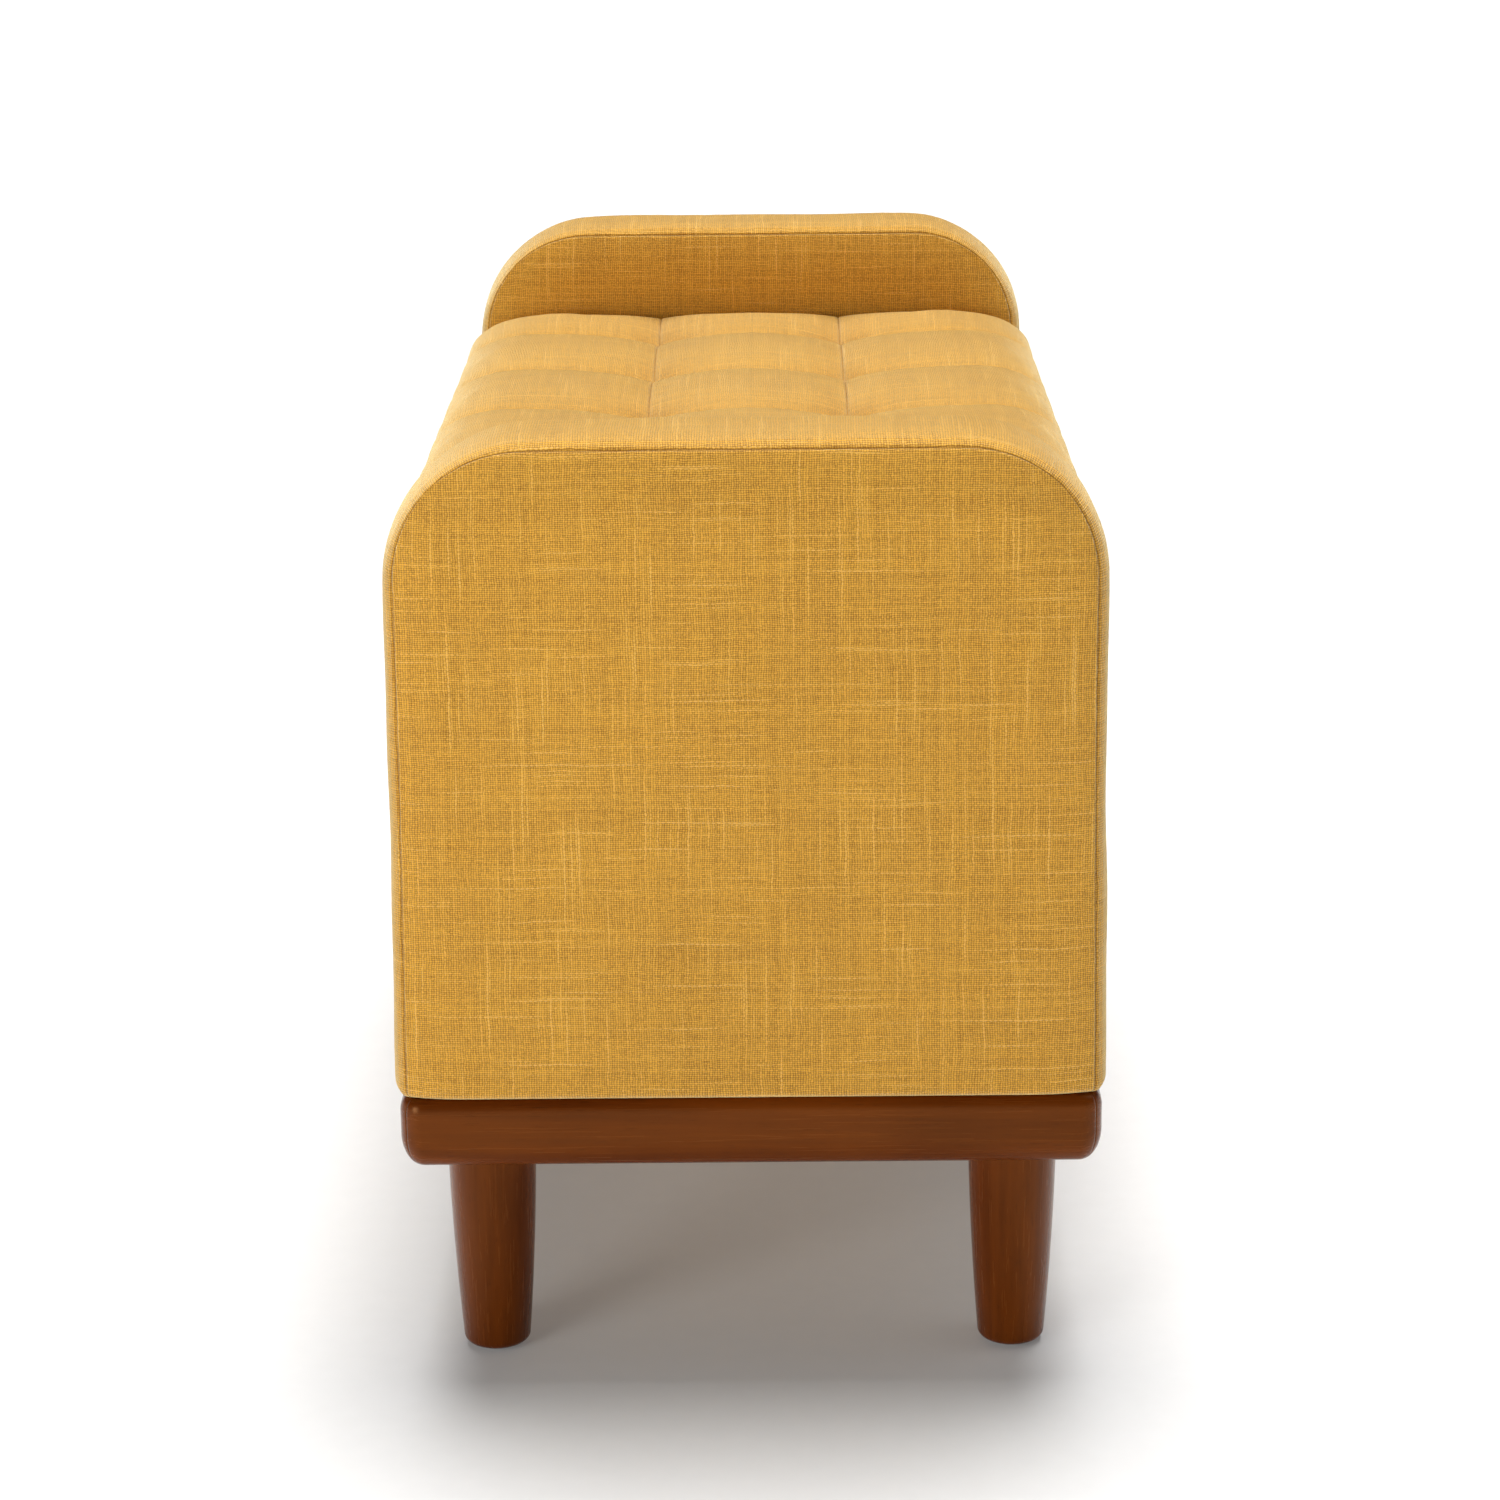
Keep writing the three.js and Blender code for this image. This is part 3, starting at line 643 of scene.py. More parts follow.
LINEN = linen_material()
WALNUT = {axis: wood_material(f"walnut_{axis}", axis, WALNUT_DARK, WALNUT_LIGHT, 0.19) for axis in "xyz"}
PLYWOOD = {
    axis: wood_material(f"plywood_{axis}", axis, (0.40, 0.25, 0.115, 1), (0.66, 0.47, 0.26, 1), 0.55)
    for axis in "xyz"
}
SOFTWOOD = wood_material("softwood", "x", (0.52, 0.36, 0.18, 1), (0.78, 0.60, 0.36, 1), 0.6)
STEEL = steel_material()
NYLON, RUBBER, FELT, FOAM = (plain_grain_material(*entry) for entry in (
    ("nylon", (0.012, 0.011, 0.010, 1), (0.030, 0.028, 0.025, 1), 900.0, 0.45, 0.00004),
    ("rubber", (0.010, 0.010, 0.010, 1), (0.022, 0.022, 0.022, 1), 500.0, 0.70, 0.00005),
    ("felt", (0.010, 0.010, 0.011, 1), (0.045, 0.044, 0.043, 1), 1300.0, 0.85, 0.0003),
    ("foam", (0.58, 0.53, 0.38, 1), (0.80, 0.75, 0.58, 1), 1100.0, 0.85, 0.0003),
))


# ---------- shells sewn from panels ----------

class Shell:
    """Vertices shared by several panels of cloth, each panel with its own flat pattern as UVs."""

    def __init__(self):
        self.points = []
        self.faces = []
        self.uvs = []

    def add(self, points):
        """Adds a grid of points and gives back their numbers in the same grid."""
        points = np.asarray(points, dtype=float)
        first = sum(len(block) for block in self.points)
        self.points.append(points.reshape(-1, 3))
        return np.arange(first, first + points.size // 3).reshape(points.shape[:-1])

    def panel(self, numbers, pattern):
        """Joins a grid of numbered points into quads; pattern holds each point's place on the cloth."""
        near, far = slice(None, -1), slice(1, None)
        corners = ((near, near), (near, far), (far, far), (far, near))
        quads = np.stack([numbers[corner] for corner in corners], axis=-1).reshape(-1, 4)
        laid = np.stack([pattern[corner] for corner in corners], axis=-2).reshape(-1, 4, 2)
        self.faces.extend(quads.tolist())
        self.uvs.extend(laid.tolist())

    def piece(self, name, material):
        made = make_piece(name, np.concatenate(self.points), self.faces, material, self.uvs)
        turn_faces_out(made)
        return made


def rim(grid):
    """The entries round a grid's edge, each once."""
    return np.concatenate([grid[:-1, 0], grid[-1, :-1], grid[:0:-1, -1], grid[0, :0:-1]])


def pattern_of(first, second):
    return np.stack(np.broadcast_arrays(first, second), axis=-1)


# ---------- arms ----------

def near_edges(length, step):
    """Shares of a length where grid lines run: close together at both ends and `step` apart between."""
    close = (0.0015, 0.0035, 0.006, 0.0095, 0.0135, 0.0185, 0.025)
    start, end = close[-1], length - close[-1]
    middle = np.linspace(start, end, max(2, round((end - start) / step)))
    closing = [length - place for place in close[-2::-1]]
    return np.concatenate([[0.0], close[:-1], middle, closing, [length]]) / length


def arm_seam_limits():
    """The sewn edge's reach to the front and back, and its height."""
    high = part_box("arm_right_cover")[1]
    return high.y - ARM_SEAM_INSET, high.z - ARM_SEAM_INSET


def arm_outline():
    """The seam's path as four curves, each a function of a share of its length: (y, z) and the way out."""
    half, top = arm_seam_limits()
    radius = ARM_SEAM_R
    r = ARM_FOOT_R
    side, crown = half - radius, top - radius
    toe, sole = half - r, ARM_FOOT + r
    bend = math.pi / 4

    def along(points, ways, share):
        lengths = lengths_along(points)
        place = share * lengths[-1]
        spot = np.stack([np.interp(place, lengths, points[:, axis]) for axis in (0, 1)], axis=-1)
        way = np.stack([np.interp(place, lengths, ways[:, axis]) for axis in (0, 1)], axis=-1)
        return spot, way / np.linalg.norm(way, axis=-1, keepdims=True), lengths[-1]

    def arc(centre_y, centre_z, r, start, end, steps=48):
        turn = np.linspace(start, end, steps)
        way = np.stack([np.cos(turn), np.sin(turn)], axis=-1)
        return np.array([centre_y, centre_z]) + r * way, way

    def chain(*runs):
        return np.concatenate([run[0] for run in runs]), np.concatenate([run[1] for run in runs])

    runs = {
        "lower": chain(
            arc(-toe, sole, r, -3 * bend, -2 * bend, 12),
            arc(toe, sole, r, -2 * bend, -bend, 12),
        ),
        "right": chain(arc(toe, sole, r, -bend, 0, 12), arc(side, crown, radius, 0, bend)),
        "upper": chain(
            arc(-side, crown, radius, 3 * bend, 2 * bend),
            arc(side, crown, radius, 2 * bend, bend),
        ),
        "left": chain(
            arc(-toe, sole, r, -3 * bend, -4 * bend, 12),
            arc(-side, crown, radius, 4 * bend, 3 * bend),
        ),
    }
    return {name: (lambda share, run=run: along(*run, np.asarray(share))) for name, run in runs.items()}


def patch_between(curves, across, rise):
    """A grid of (y, z) filling the outline: rows go up, columns go from front to back."""
    p, q = across[None, :, None], rise[:, None, None]
    lower, upper = curves["lower"](across)[0][None], curves["upper"](across)[0][None]
    left, right = curves["left"](rise)[0][:, None], curves["right"](rise)[0][:, None]
    blended = (1 - q) * lower + q * upper + (1 - p) * left + p * right
    corners = ((1 - p) * (1 - q) * lower[:, :1] + p * (1 - q) * lower[:, -1:]
               + (1 - p) * q * upper[:, :1] + p * q * upper[:, -1:])
    return blended - corners


def from_sewn_edge(spot):
    """How far a point of an arm's face lies inside the sewn edge, which runs up, over and down."""
    half, top = arm_seam_limits()
    radius = ARM_SEAM_R
    y, z = np.abs(spot[..., 0]), spot[..., 1]
    inside_y, inside_z = y - (half - radius), z - (top - radius)
    round_corner = (inside_y > 0) & (inside_z > 0)
    return np.where(round_corner, radius - np.hypot(inside_y, inside_z), np.minimum(half - y, top - z))


def foot_share(z):
    """0 where the cloth turns under the arm, rising to 1 a little above."""
    return quarter_turn(np.clip((z - ARM_FOOT) / ARM_FOOT_EASE, 0, 1))


def puckers(along, u, v, seed):
    """The small gathers beside a seam, unevenly spaced along it."""
    drift = PUCKER_DRIFT * ripple(u, v, PUCKER_PATCH, seed)
    return PUCKER_HEIGHT * np.sin(math.tau * along / PUCKER_LENGTH + drift)


def face_depth(spot, seed):
    """How far an arm's face lies behind its flat front: it rolls in to the seam and under the foot."""
    y, z = spot[..., 0], spot[..., 1]
    inside = from_sewn_edge(spot)
    roll = ARM_SEAM_DEPTH * (1 - np.clip(inside / ARM_FACE_ROLL, 0, 1)) ** ARM_FACE_ROLL_POWER
    pucker = puckers(y + z * 1.02, y, z, seed + 3) * np.exp(-np.clip(inside, 0, None) / PUCKER_REACH)
    turn = ARM_FOOT_R * (1 - quarter_turn(np.clip((z - ARM_FOOT) / ARM_FOOT_R, 0, 1)))
    waves = ARM_FACE_WAVES * ripple(y, z, 0.11, seed) * smoothstep(0, 0.03, inside)
    return roll + turn + (pucker + waves) * foot_share(z)


def flared(points):
    """The arm is pulled a little wider from front to back where its cloth is fastened at the foot."""
    wide = points.copy()
    wide[:, 1] *= 1 + ARM_FOOT_FLARE * (1 - smoothstep(*ARM_FLARE_ENDS, points[:, 2]))
    return wide


def make_arm(name, side):
    """One arm: two face panels and the boxing strip between them, sewn along the edges."""
    low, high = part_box(f"arm_{name}_cover")
    outer = max(abs(low.x), abs(high.x))
    inner = min(abs(low.x), abs(high.x))
    curves = arm_outline()
    runs = {key: near_edges(float(curve(0.0)[2]), ARM_GRID_STEP) for key, curve in curves.items()}
    across, rise = runs["upper"], runs["right"]
    grid = patch_between(curves, across, rise)
    shell = Shell()

    faces = {}
    for place, x, way in (("outer", outer, -1), ("inner", inner, 1)):
        depth = face_depth(grid, ARM_FACE_SEEDS[place] + (name == "left"))
        faces[place] = shell.add(np.concatenate([(x + way * depth)[..., None] * side, grid], axis=-1))
        shell.panel(faces[place], grid + CUT_ARM_FACE[place])

    outer_rim, inner_rim = rim(faces["outer"].T), rim(faces["inner"].T)
    shares_round = {"lower": across[:-1], "right": rise[:-1], "upper": across[:0:-1], "left": rise[:0:-1]}
    spots, ways = (
        np.concatenate([curves[key](share)[part] for key, share in shares_round.items()])
        for part in (0, 1)
    )
    edge = np.concatenate(shell.points)
    outer_x, inner_x = edge[outer_rim][:, 0], edge[inner_rim][:, 0]

    width = outer - inner - 2 * ARM_SEAM_DEPTH
    strip = np.concatenate([BOXING_LINES, [width / 2], width - np.array(BOXING_LINES[::-1])])
    share = strip / width
    from_seam = np.minimum(strip, width - strip)
    crown = ARM_SEAM_INSET * (1 - np.abs(2 * share - 1) ** BOXING_FULLNESS)
    half, top = arm_seam_limits()
    turn = np.arctan2(spots[:, 1] - (top - ARM_SEAM_R), np.abs(spots[:, 0]) - (half - ARM_SEAM_R))
    taut = np.where(spots[:, 0] < 0, ARM_CORNER_TAUT_FRONT, ARM_CORNER_TAUT_BACK)
    slack = 1 - taut * np.exp(-(((turn - math.pi / 4) / ARM_CORNER_TAUT_TURN) ** 2))
    ridge = RIDGE_HEIGHT * np.exp(-(((from_seam - RIDGE_AT) / RIDGE_REACH) ** 2))
    length = lengths_round(spots)
    s, t = np.meshgrid(length[:-1], strip, indexing="ij")
    waves = BOXING_WAVES * ripple(s, t, 0.10, 5 + (name == "left")) * (crown / ARM_SEAM_INSET)
    pucker = puckers(s, s, t, 8) * np.exp(-from_seam / PUCKER_REACH) * smoothstep(0, 0.004, from_seam)
    above = foot_share(spots[:, 1])
    out = above[:, None] * (slack[:, None] * crown + ridge + waves + pucker)
    ring_yz = spots[:, None, :] + ways[:, None, :] * out[..., None]
    ring_x = outer_x[:, None] + (inner_x - outer_x)[:, None] * share[None, :]
    ring = shell.add(np.concatenate([ring_x[..., None], ring_yz], axis=-1))
    strip_grid = np.concatenate([outer_rim[:, None], ring, inner_rim[:, None]], axis=1)
    strip_grid = np.concatenate([strip_grid, strip_grid[:1]], axis=0)
    strip_across = np.concatenate([[0], strip, [width]])
    shell.panel(strip_grid, pattern_of(length[:, None] + CUT_BOXING, strip_across[None, :]))

    shell.points = [flared(block) for block in shell.points]
    arm = shell.piece(f"arm_{name}_upholstery", LINEN)
    # How sewn each point is: the rims sink into grooves and take painted shade along them.
    sewn = np.zeros(len(arm.data.vertices))
    sewn[outer_rim] = above
    sewn[inner_rim] = above
    set_attribute(arm, "crease_and_shade", sewn)
    subdivide(arm)
    set_coordinates(arm.data, sink_grooves(arm)[1])
    finish_piece(arm, "bench_frame", (f"arm_{name}_cover", f"arm_{name}_foam"))


# ---------- lid cushion ----------

def tuft_places():
    """Where the sewn lines run: the rows' places along the bench, the columns' places across it."""
    low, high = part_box("lid_cover")
    pitch = (high.x - low.x) / TUFT_ROWS
    rows = [pitch * (row - (TUFT_ROWS - 1) / 2) for row in range(TUFT_ROWS)]
    columns = [TUFT_COLUMN_SPREAD * (column - (TUFT_COLUMNS - 1) / 2) for column in range(TUFT_COLUMNS)]
    return rows, columns


def rolled_lines(breaks, roll, beside):
    """Grid lines over the flat middle and on round both edges, with each line's drop as a share."""
    flat = spaced(breaks, CUSHION_STEP, beside)
    turn = np.linspace(0, math.pi / 2, ROLL_STEPS)[1:]
    out = breaks[-1] + roll * np.sin(turn) ** ROLL_FULLNESS
    drop = 1 - np.clip(np.cos(turn), 0, 1) ** ROLL_FULLNESS
    lines = np.concatenate([-out[::-1], flat, out])
    return lines, np.concatenate([drop[::-1], np.zeros(len(flat)), drop])


def girth_of(lines, drop):
    """How far each grid line lies from the middle, measured along the cloth."""
    length = np.concatenate([[0.0], np.cumsum(np.hypot(np.diff(lines), np.diff(drop)))])
    return length - length[-1] / 2


def rounded_corners(x, y, half_x, half_y, radius):
    """Moves plan points in each corner's square so that the plan's corners become round."""
    inner_x, inner_y = half_x - radius, half_y - radius
    over_x = np.clip(np.abs(x) - inner_x, 0, None)
    over_y = np.clip(np.abs(y) - inner_y, 0, None)
    far = np.hypot(over_x, over_y)
    pull = np.where(far > 0, np.maximum(over_x, over_y) / np.maximum(far, 1e-9), 1.0)
    round_x = np.sign(x) * (inner_x + over_x * pull)
    round_y = np.sign(y) * (inner_y + over_y * pull)
    both = (over_x > 0) & (over_y > 0)
    return np.where(both, round_x, x), np.where(both, round_y, y)


def make_cushion():
    """The tufted lid cushion: sewn lines across and along, pulled down where they cross."""
    low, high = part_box("lid_cover")
    half_x, half_y = high.x, high.y + SIDE_SWELL
    rows, columns = tuft_places()
    flat_x, flat_y = half_x - END_ROLL_WIDTH, half_y - SIDE_ROLL_WIDTH
    x_lines, x_drop = rolled_lines([-flat_x, *rows, flat_x], END_ROLL_WIDTH, SEAM_BESIDE)
    y_lines, y_drop = rolled_lines([-flat_y, *columns, flat_y], SIDE_ROLL_WIDTH, SEAM_BESIDE)
    x, y = np.meshgrid(x_lines, y_lines, indexing="ij")
    top = high.z - CUSHION_START_LOW - SIDE_ROLL_DROP * y_drop[None, :] - END_ROLL_DROP * x_drop[:, None]

    to_row, to_column = nearest(x, rows), nearest(y, columns)
    over_side = smoothstep(half_y - 0.02, half_y, np.abs(y))
    pull_row = ROW_PULL * np.exp(-to_row / ROW_REACH) * (1 - 0.5 * over_side)
    over_end = smoothstep(flat_x, half_x, np.abs(x))
    pull_column = COLUMN_PULL * np.exp(-to_column / COLUMN_REACH) * (1 - over_end)
    to_tuft = np.hypot(to_row, to_column)
    pull_tuft = TUFT_PULL * np.exp(-((to_tuft / TUFT_REACH) ** 1.15))
    angle = np.arctan2(to_column, to_row)
    pleats = PLEAT_HEIGHT * np.cos(PLEATS_ROUND * angle)
    pleats = pleats * np.exp(-(((to_tuft - PLEAT_AT) / PLEAT_AT) ** 2))
    pull = np.maximum(pull_row, pull_column) + pull_tuft + pleats
    plan_x, plan_y = rounded_corners(x, y, half_x, half_y, CUSHION_CORNER_R)
    down_side = np.clip(np.abs(y) - flat_y, 0, None) / SIDE_ROLL_WIDTH
    plan_y = plan_y - np.sign(y) * pull_row * down_side
    z = top - pull * np.sqrt(np.clip(1 - down_side ** 2, 0.02, 1))

    shell = Shell()
    upper = shell.add(np.stack([plan_x, plan_y, z], axis=-1))
    girth_x = girth_of(x_lines, END_ROLL_DROP * x_drop)
    girth_y = girth_of(y_lines, SIDE_ROLL_DROP * y_drop)
    shell.panel(upper, pattern_of(girth_x[:, None] + CUT_SEAT[0], girth_y[None, :] + CUT_SEAT[1]))
    edge = np.concatenate(shell.points)[rim(upper)]
    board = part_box("lid_board")[1]
    wall = []
    for share in WALL_SHARES:
        ring = edge.copy()
        ring[:, 0] *= 1 - (half_x - board.x - BOARD_WRAP) / half_x * share ** 3
        ring[:, 1] *= 1 - (half_y - board.y - BOARD_WRAP) / half_y * share ** 3
        ring[:, 2] = edge[:, 2] + (CUSHION_FOOT - edge[:, 2]) * share
        wall.append(ring)
    rings = shell.add(np.stack(wall, axis=1))
    wall_grid = np.concatenate([rim(upper)[:, None], rings], axis=1)
    wall_grid = np.concatenate([wall_grid, wall_grid[:1]], axis=0)
    height = np.concatenate([[0], WALL_SHARES])[None, :] * (edge[:, 2].mean() - CUSHION_FOOT)
    round_wall = lengths_round(edge[:, :2])[:, None] + CUT_SEAT_WALL[0]
    shell.panel(wall_grid, pattern_of(round_wall, height + girth_y[-1] + CUT_SEAT_WALL[1]))

    under = np.zeros_like(upper)
    low_z = np.full_like(z, CUSHION_FOOT)
    flat = np.stack([plan_x * UNDERSIDE_SHRINK[0], plan_y * UNDERSIDE_SHRINK[1], low_z], axis=-1)
    under[1:-1, 1:-1] = shell.add(flat[1:-1, 1:-1])
    steps_x, steps_y = len(x_lines) - 1, len(y_lines) - 1
    sides = np.split(rings[:, -1], np.cumsum([steps_x, steps_y, steps_x]))
    under[:-1, 0], under[-1, :-1], under[:0:-1, -1], under[0, :0:-1] = sides
    under_x, under_y = x_lines[:, None] + CUT_SEAT_UNDER[0], y_lines[None, :] + CUT_SEAT_UNDER[1]
    shell.panel(under, pattern_of(under_x, under_y))

    cushion = shell.piece("lid_cushion", LINEN)
    # How sewn each point is: the sewn lines and the wall's seams sink into grooves and take painted shade.
    sewn = np.zeros(len(cushion.data.vertices))
    on_row, on_column = to_row < ON_LINE, (to_column < ON_LINE) & (np.abs(x) < half_x - ON_LINE)
    sewn[upper.ravel()] = (on_row | on_column).ravel()
    on_wall = rim(on_row) & (np.abs(np.abs(rim(y)) - half_y) < ON_LINE)
    sewn[rings[on_wall].ravel()] = WALL_SEWN
    pinned = sewn > 0.5
    pinned[under.ravel()] = True
    pinned[rings[:, -WALL_PINNED_RINGS:].ravel()] = True
    set_attribute(cushion, "crease_and_shade", sewn)
    inflate(cushion, pinned, CUSHION_PRESSURE, CUSHION_CAP)
    subdivide(cushion)
    sink_tufts(cushion, rows, columns)
    finish_piece(cushion, "lid", ("lid_cover", "lid_foam"))


def sink_tufts(cushion, rows, columns):
    """Sinks the stuffed cover's grooves and dimples, paints shade in and round the dimples, and keeps its
    ends clear of the arms.
    """
    crease_and_shade, points = sink_grooves(cushion)
    to_tuft = np.hypot(nearest(points[:, 0], rows), nearest(points[:, 1], columns))
    funnel = TUFT_FUNNEL * np.exp(-((to_tuft / FUNNEL_REACH) ** 1.1))
    start, end = CUSHION_FOOT + FUNNEL_FROM, CUSHION_FOOT + FUNNEL_FULL
    points[:, 2] -= funnel * smoothstep(start, end, points[:, 2])
    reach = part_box("arm_right_cover")[0].x - END_CLEARANCE
    points[:, 0] = np.clip(points[:, 0], -reach, reach)
    set_coordinates(cushion.data, points)
    # Painted shade in and round each tuft's dimple, kept wherever it is darker than the sewn lines'
    # painted shade.
    dimple_shade = (funnel / TUFT_FUNNEL) ** 1.6 * (points[:, 2] > start) * TUFT_SHADE
    shaded = np.maximum(crease_and_shade, dimple_shade).astype(np.float32)
    cushion.data.attributes["crease_and_shade"].data.foreach_set("value", shaded)


# ---------- padded front and back panels ----------

def make_wall_pad(name, way):
    """The thin padding on the front or back of the box, its cloth turned over all four edges."""
    low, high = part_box(f"{name}_cover")
    xs = near_edges(high.x - low.x, PAD_STEP) * (high.x - low.x) + low.x
    zs = near_edges(high.z - low.z, PAD_STEP) * (high.z - low.z) + low.z
    x, z = np.meshgrid(xs, zs, indexing="ij")
    face = max(abs(low.y), abs(high.y))
    back = min(abs(low.y), abs(high.y))
    edge = inside_edges(x, z, low.x, high.x, low.z, high.z)
    swell = PAD_SWELL * smoothstep(0, 0.09, edge)
    swell = swell + PAD_WAVES * ripple(x, z, 0.12, 41) * smoothstep(0, 0.04, edge)
    depth = (face - back - PAD_BACK_EDGE) * (1 - quarter_turn(np.clip(edge / PAD_EDGE_R, 0, 1)))
    shell = Shell()
    front = shell.add(np.stack([x, way * (face - depth + swell), z], axis=-1))
    shell.panel(front, pattern_of(x + CUT_PAD_FACE, z))
    rear = front.copy()
    rear[1:-1, 1:-1] = shell.add(np.stack([x, np.full_like(x, way * back), z], axis=-1)[1:-1, 1:-1])
    shell.panel(rear, pattern_of(x + CUT_PAD_BACK, z))
    pad = shell.piece(f"{name}_upholstery", LINEN)
    set_attribute(pad, "crease_and_shade", np.zeros(len(pad.data.vertices)))
    subdivide(pad)
    finish_piece(pad, "bench_frame", (f"{name}_cover",))


# ---------- sheets inside ----------

def make_sheet(name, node, body, lift, seed, edge_round=0.0):
    """A thin closed sheet in a node's box, its upper face gently uneven."""
    low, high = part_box(node)
    x, y = np.meshgrid(np.linspace(low.x, high.x, 61), np.linspace(low.y, high.y, 37), indexing="ij")
    edge = inside_edges(x, y, low.x, high.x, low.y, high.y)
    uneven = lift * ripple(x, y, 0.09, seed) * smoothstep(0, 0.03, edge)
    drop = edge_round * (1 - smoothstep(0, 0.006, edge))
    shell = Shell()
    upper = shell.add(np.stack([x, y, high.z - drop + np.minimum(uneven, 0.0)], axis=-1))
    lower = shell.add(np.stack([x, y, np.full_like(x, low.z)], axis=-1))
    shell.panel(upper, pattern_of(x, y))
    shell.panel(lower, pattern_of(x, y + 2.0))
    for rim in ((slice(None), 0), (slice(None), -1), (0, slice(None)), (-1, slice(None))):
        run = (x[rim] + y[rim])[:, None]
        shell.panel(np.stack([upper[rim], lower[rim]], axis=1), pattern_of(run, np.array([[0, 0.002]])))
    sheet = shell.piece(name, FELT)
    finish_piece(sheet, body, (node,))


def make_staples(name, node, body):
    """Wire staples round the edge of the cloth under the lid, each a little askew."""
    low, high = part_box(node)
    places = []
    for y in (low.y + STAPLE_INSET, high.y - STAPLE_INSET):
        places += [(x, y, 0.0) for x in np.linspace(low.x + 0.02, high.x - 0.02, 17)]
    for x in (low.x + STAPLE_INSET, high.x - STAPLE_INSET):
        places += [(x, y, math.pi / 2) for y in np.linspace(low.y + 0.04, high.y - 0.04, 8)]
    work = bmesh.new()
    rng = np.random.default_rng(7)
    reach, radius = STAPLE_WIDTH / 2, STAPLE_WIRE / 2
    for x, y, square in places:
        angle = square + rng.uniform(-STAPLE_ASKEW, STAPLE_ASKEW)
        ahead = Vector((math.cos(angle), math.sin(angle), 0))
        aside = Vector((-math.sin(angle), math.cos(angle), 0))
        rings = []
        for along, up in ((-reach, STAPLE_LEG), (-reach, 0.0), (reach, 0.0), (reach, STAPLE_LEG)):
            centre = Vector((x, y, low.z - radius + up)) + ahead * along
            tilt = ahead if up else Vector((0, 0, 1))
            turns = [math.tau * step / STAPLE_SIDES for step in range(STAPLE_SIDES)]
            spots = [centre + (aside * math.cos(turn) + tilt * math.sin(turn)) * radius for turn in turns]
            rings.append([work.verts.new(spot) for spot in spots])
        for first, second in zip(rings[:-1], rings[1:]):
            for step in range(STAPLE_SIDES):
                after = (step + 1) % STAPLE_SIDES
                work.faces.new((first[step], first[after], second[after], second[step]))
        work.faces.new(rings[0][::-1])
        work.faces.new(rings[-1])
    bmesh.ops.recalc_face_normals(work, faces=work.faces)
    mesh = bpy.data.meshes.new(name)
    work.to_mesh(mesh)
    work.free()
    mesh.materials.append(STEEL)
    mesh.shade_smooth()
    finish_piece(put(name, mesh), body)


# ---------- base rails ----------

def rail_profile():
    """Points (depth from the outer face, height above the rail's foot) round a rail's section."""
    low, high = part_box("rail_front")
    height, width = high.z - low.z, high.y - low.y
    corners = [
        (0.0, 0.0, *RAIL_FOOT_ROUND, 16),
        (0.0, height, *RAIL_TOP_ROUND, 10),
        (width, height, *RAIL_BACK_ROUND, 4),
        (width, 0.0, *RAIL_BACK_ROUND, 4),
    ]
    section = []
    for number, (w, h, deep, tall, steps) in enumerate(corners):
        centre_w = deep if w == 0 else w - deep
        centre_h = tall if h == 0 else h - tall
        start = (1.5, 1.0, 0.5, 0.0)[number] * math.pi
        for step in range(steps + 1):
            turn = start - step / steps * math.pi / 2
            section.append((centre_w + deep * math.cos(turn), centre_h + tall * math.sin(turn)))
    return section


def make_rail(name):
    """A rail between two mitred corners whose outer edge is rounded in plan."""
    low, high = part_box(name)
    along_x = (high.x - low.x) > (high.y - low.y)
    outer = max(abs(low.y), abs(high.y)) if along_x else max(abs(low.x), abs(high.x))
    side = math.copysign(1, (low.y + high.y) if along_x else (low.x + high.x))
    run = CORNER_X if along_x else CORNER_Y
    section = rail_profile()
    points = []
    for w, h in section:
        radius = max(RAIL_CORNER_R - w, RAIL_LEAST_R)
        right = []
        for step in range(RAIL_ARC_STEPS + 1):
            turn = math.pi / 4 * (1 - step / RAIL_ARC_STEPS)
            reach = run - w - radius + radius * math.sin(turn) - MITRE_GAP
            right.append((reach, w + radius - radius * math.cos(turn)))
        end, deep = right[-1]
        middle = [(reach, deep) for reach in np.linspace(end, -end, 25)[1:-1]]
        left = [(-reach, inward) for reach, inward in right[::-1]]
        for reach, inward in right + middle + left:
            across = side * (outer - inward)
            points.append((reach, across, low.z + h) if along_x else (across, reach, low.z + h))
    count = len(section)
    length = len(points) // count
    faces = []
    for row in range(count):
        following = (row + 1) % count
        for column in range(length - 1):
            faces.append((row * length + column, row * length + column + 1,
                          following * length + column + 1, following * length + column))
    faces.append(tuple(row * length for row in range(count)))
    faces.append(tuple(row * length + length - 1 for row in range(count - 1, -1, -1)))
    rail = make_piece(name + "_timber", points, faces, WALNUT["x" if along_x else "y"])
    turn_faces_out(rail)
    finish_piece(rail, "bench_frame", (name,))


# ---------- legs and glides ----------

def turned(name, profile, centre, material, segments=72):
    """A closed turned shape from (radius, height) pairs that start and end on the axis."""
    inner = profile[1:-1]
    points = [(centre.x, centre.y, profile[0][1]), (centre.x, centre.y, profile[-1][1])]
    for radius, z in inner:
        for step in range(segments):
            turn = math.tau * step / segments
            points.append((centre.x + radius * math.cos(turn), centre.y + radius * math.sin(turn), z))
    faces = []
    last = 2 + (len(inner) - 1) * segments
    for step in range(segments):
        following = (step + 1) % segments
        faces.append((0, 2 + following, 2 + step))
        faces.append((1, last + step, last + following))
        for ring in range(len(inner) - 1):
            base = 2 + ring * segments
            above = base + segments
            faces.append((base + step, base + following, above + following, above + step))
    piece = make_piece(name, points, faces, material)
    turn_faces_out(piece)
    return piece


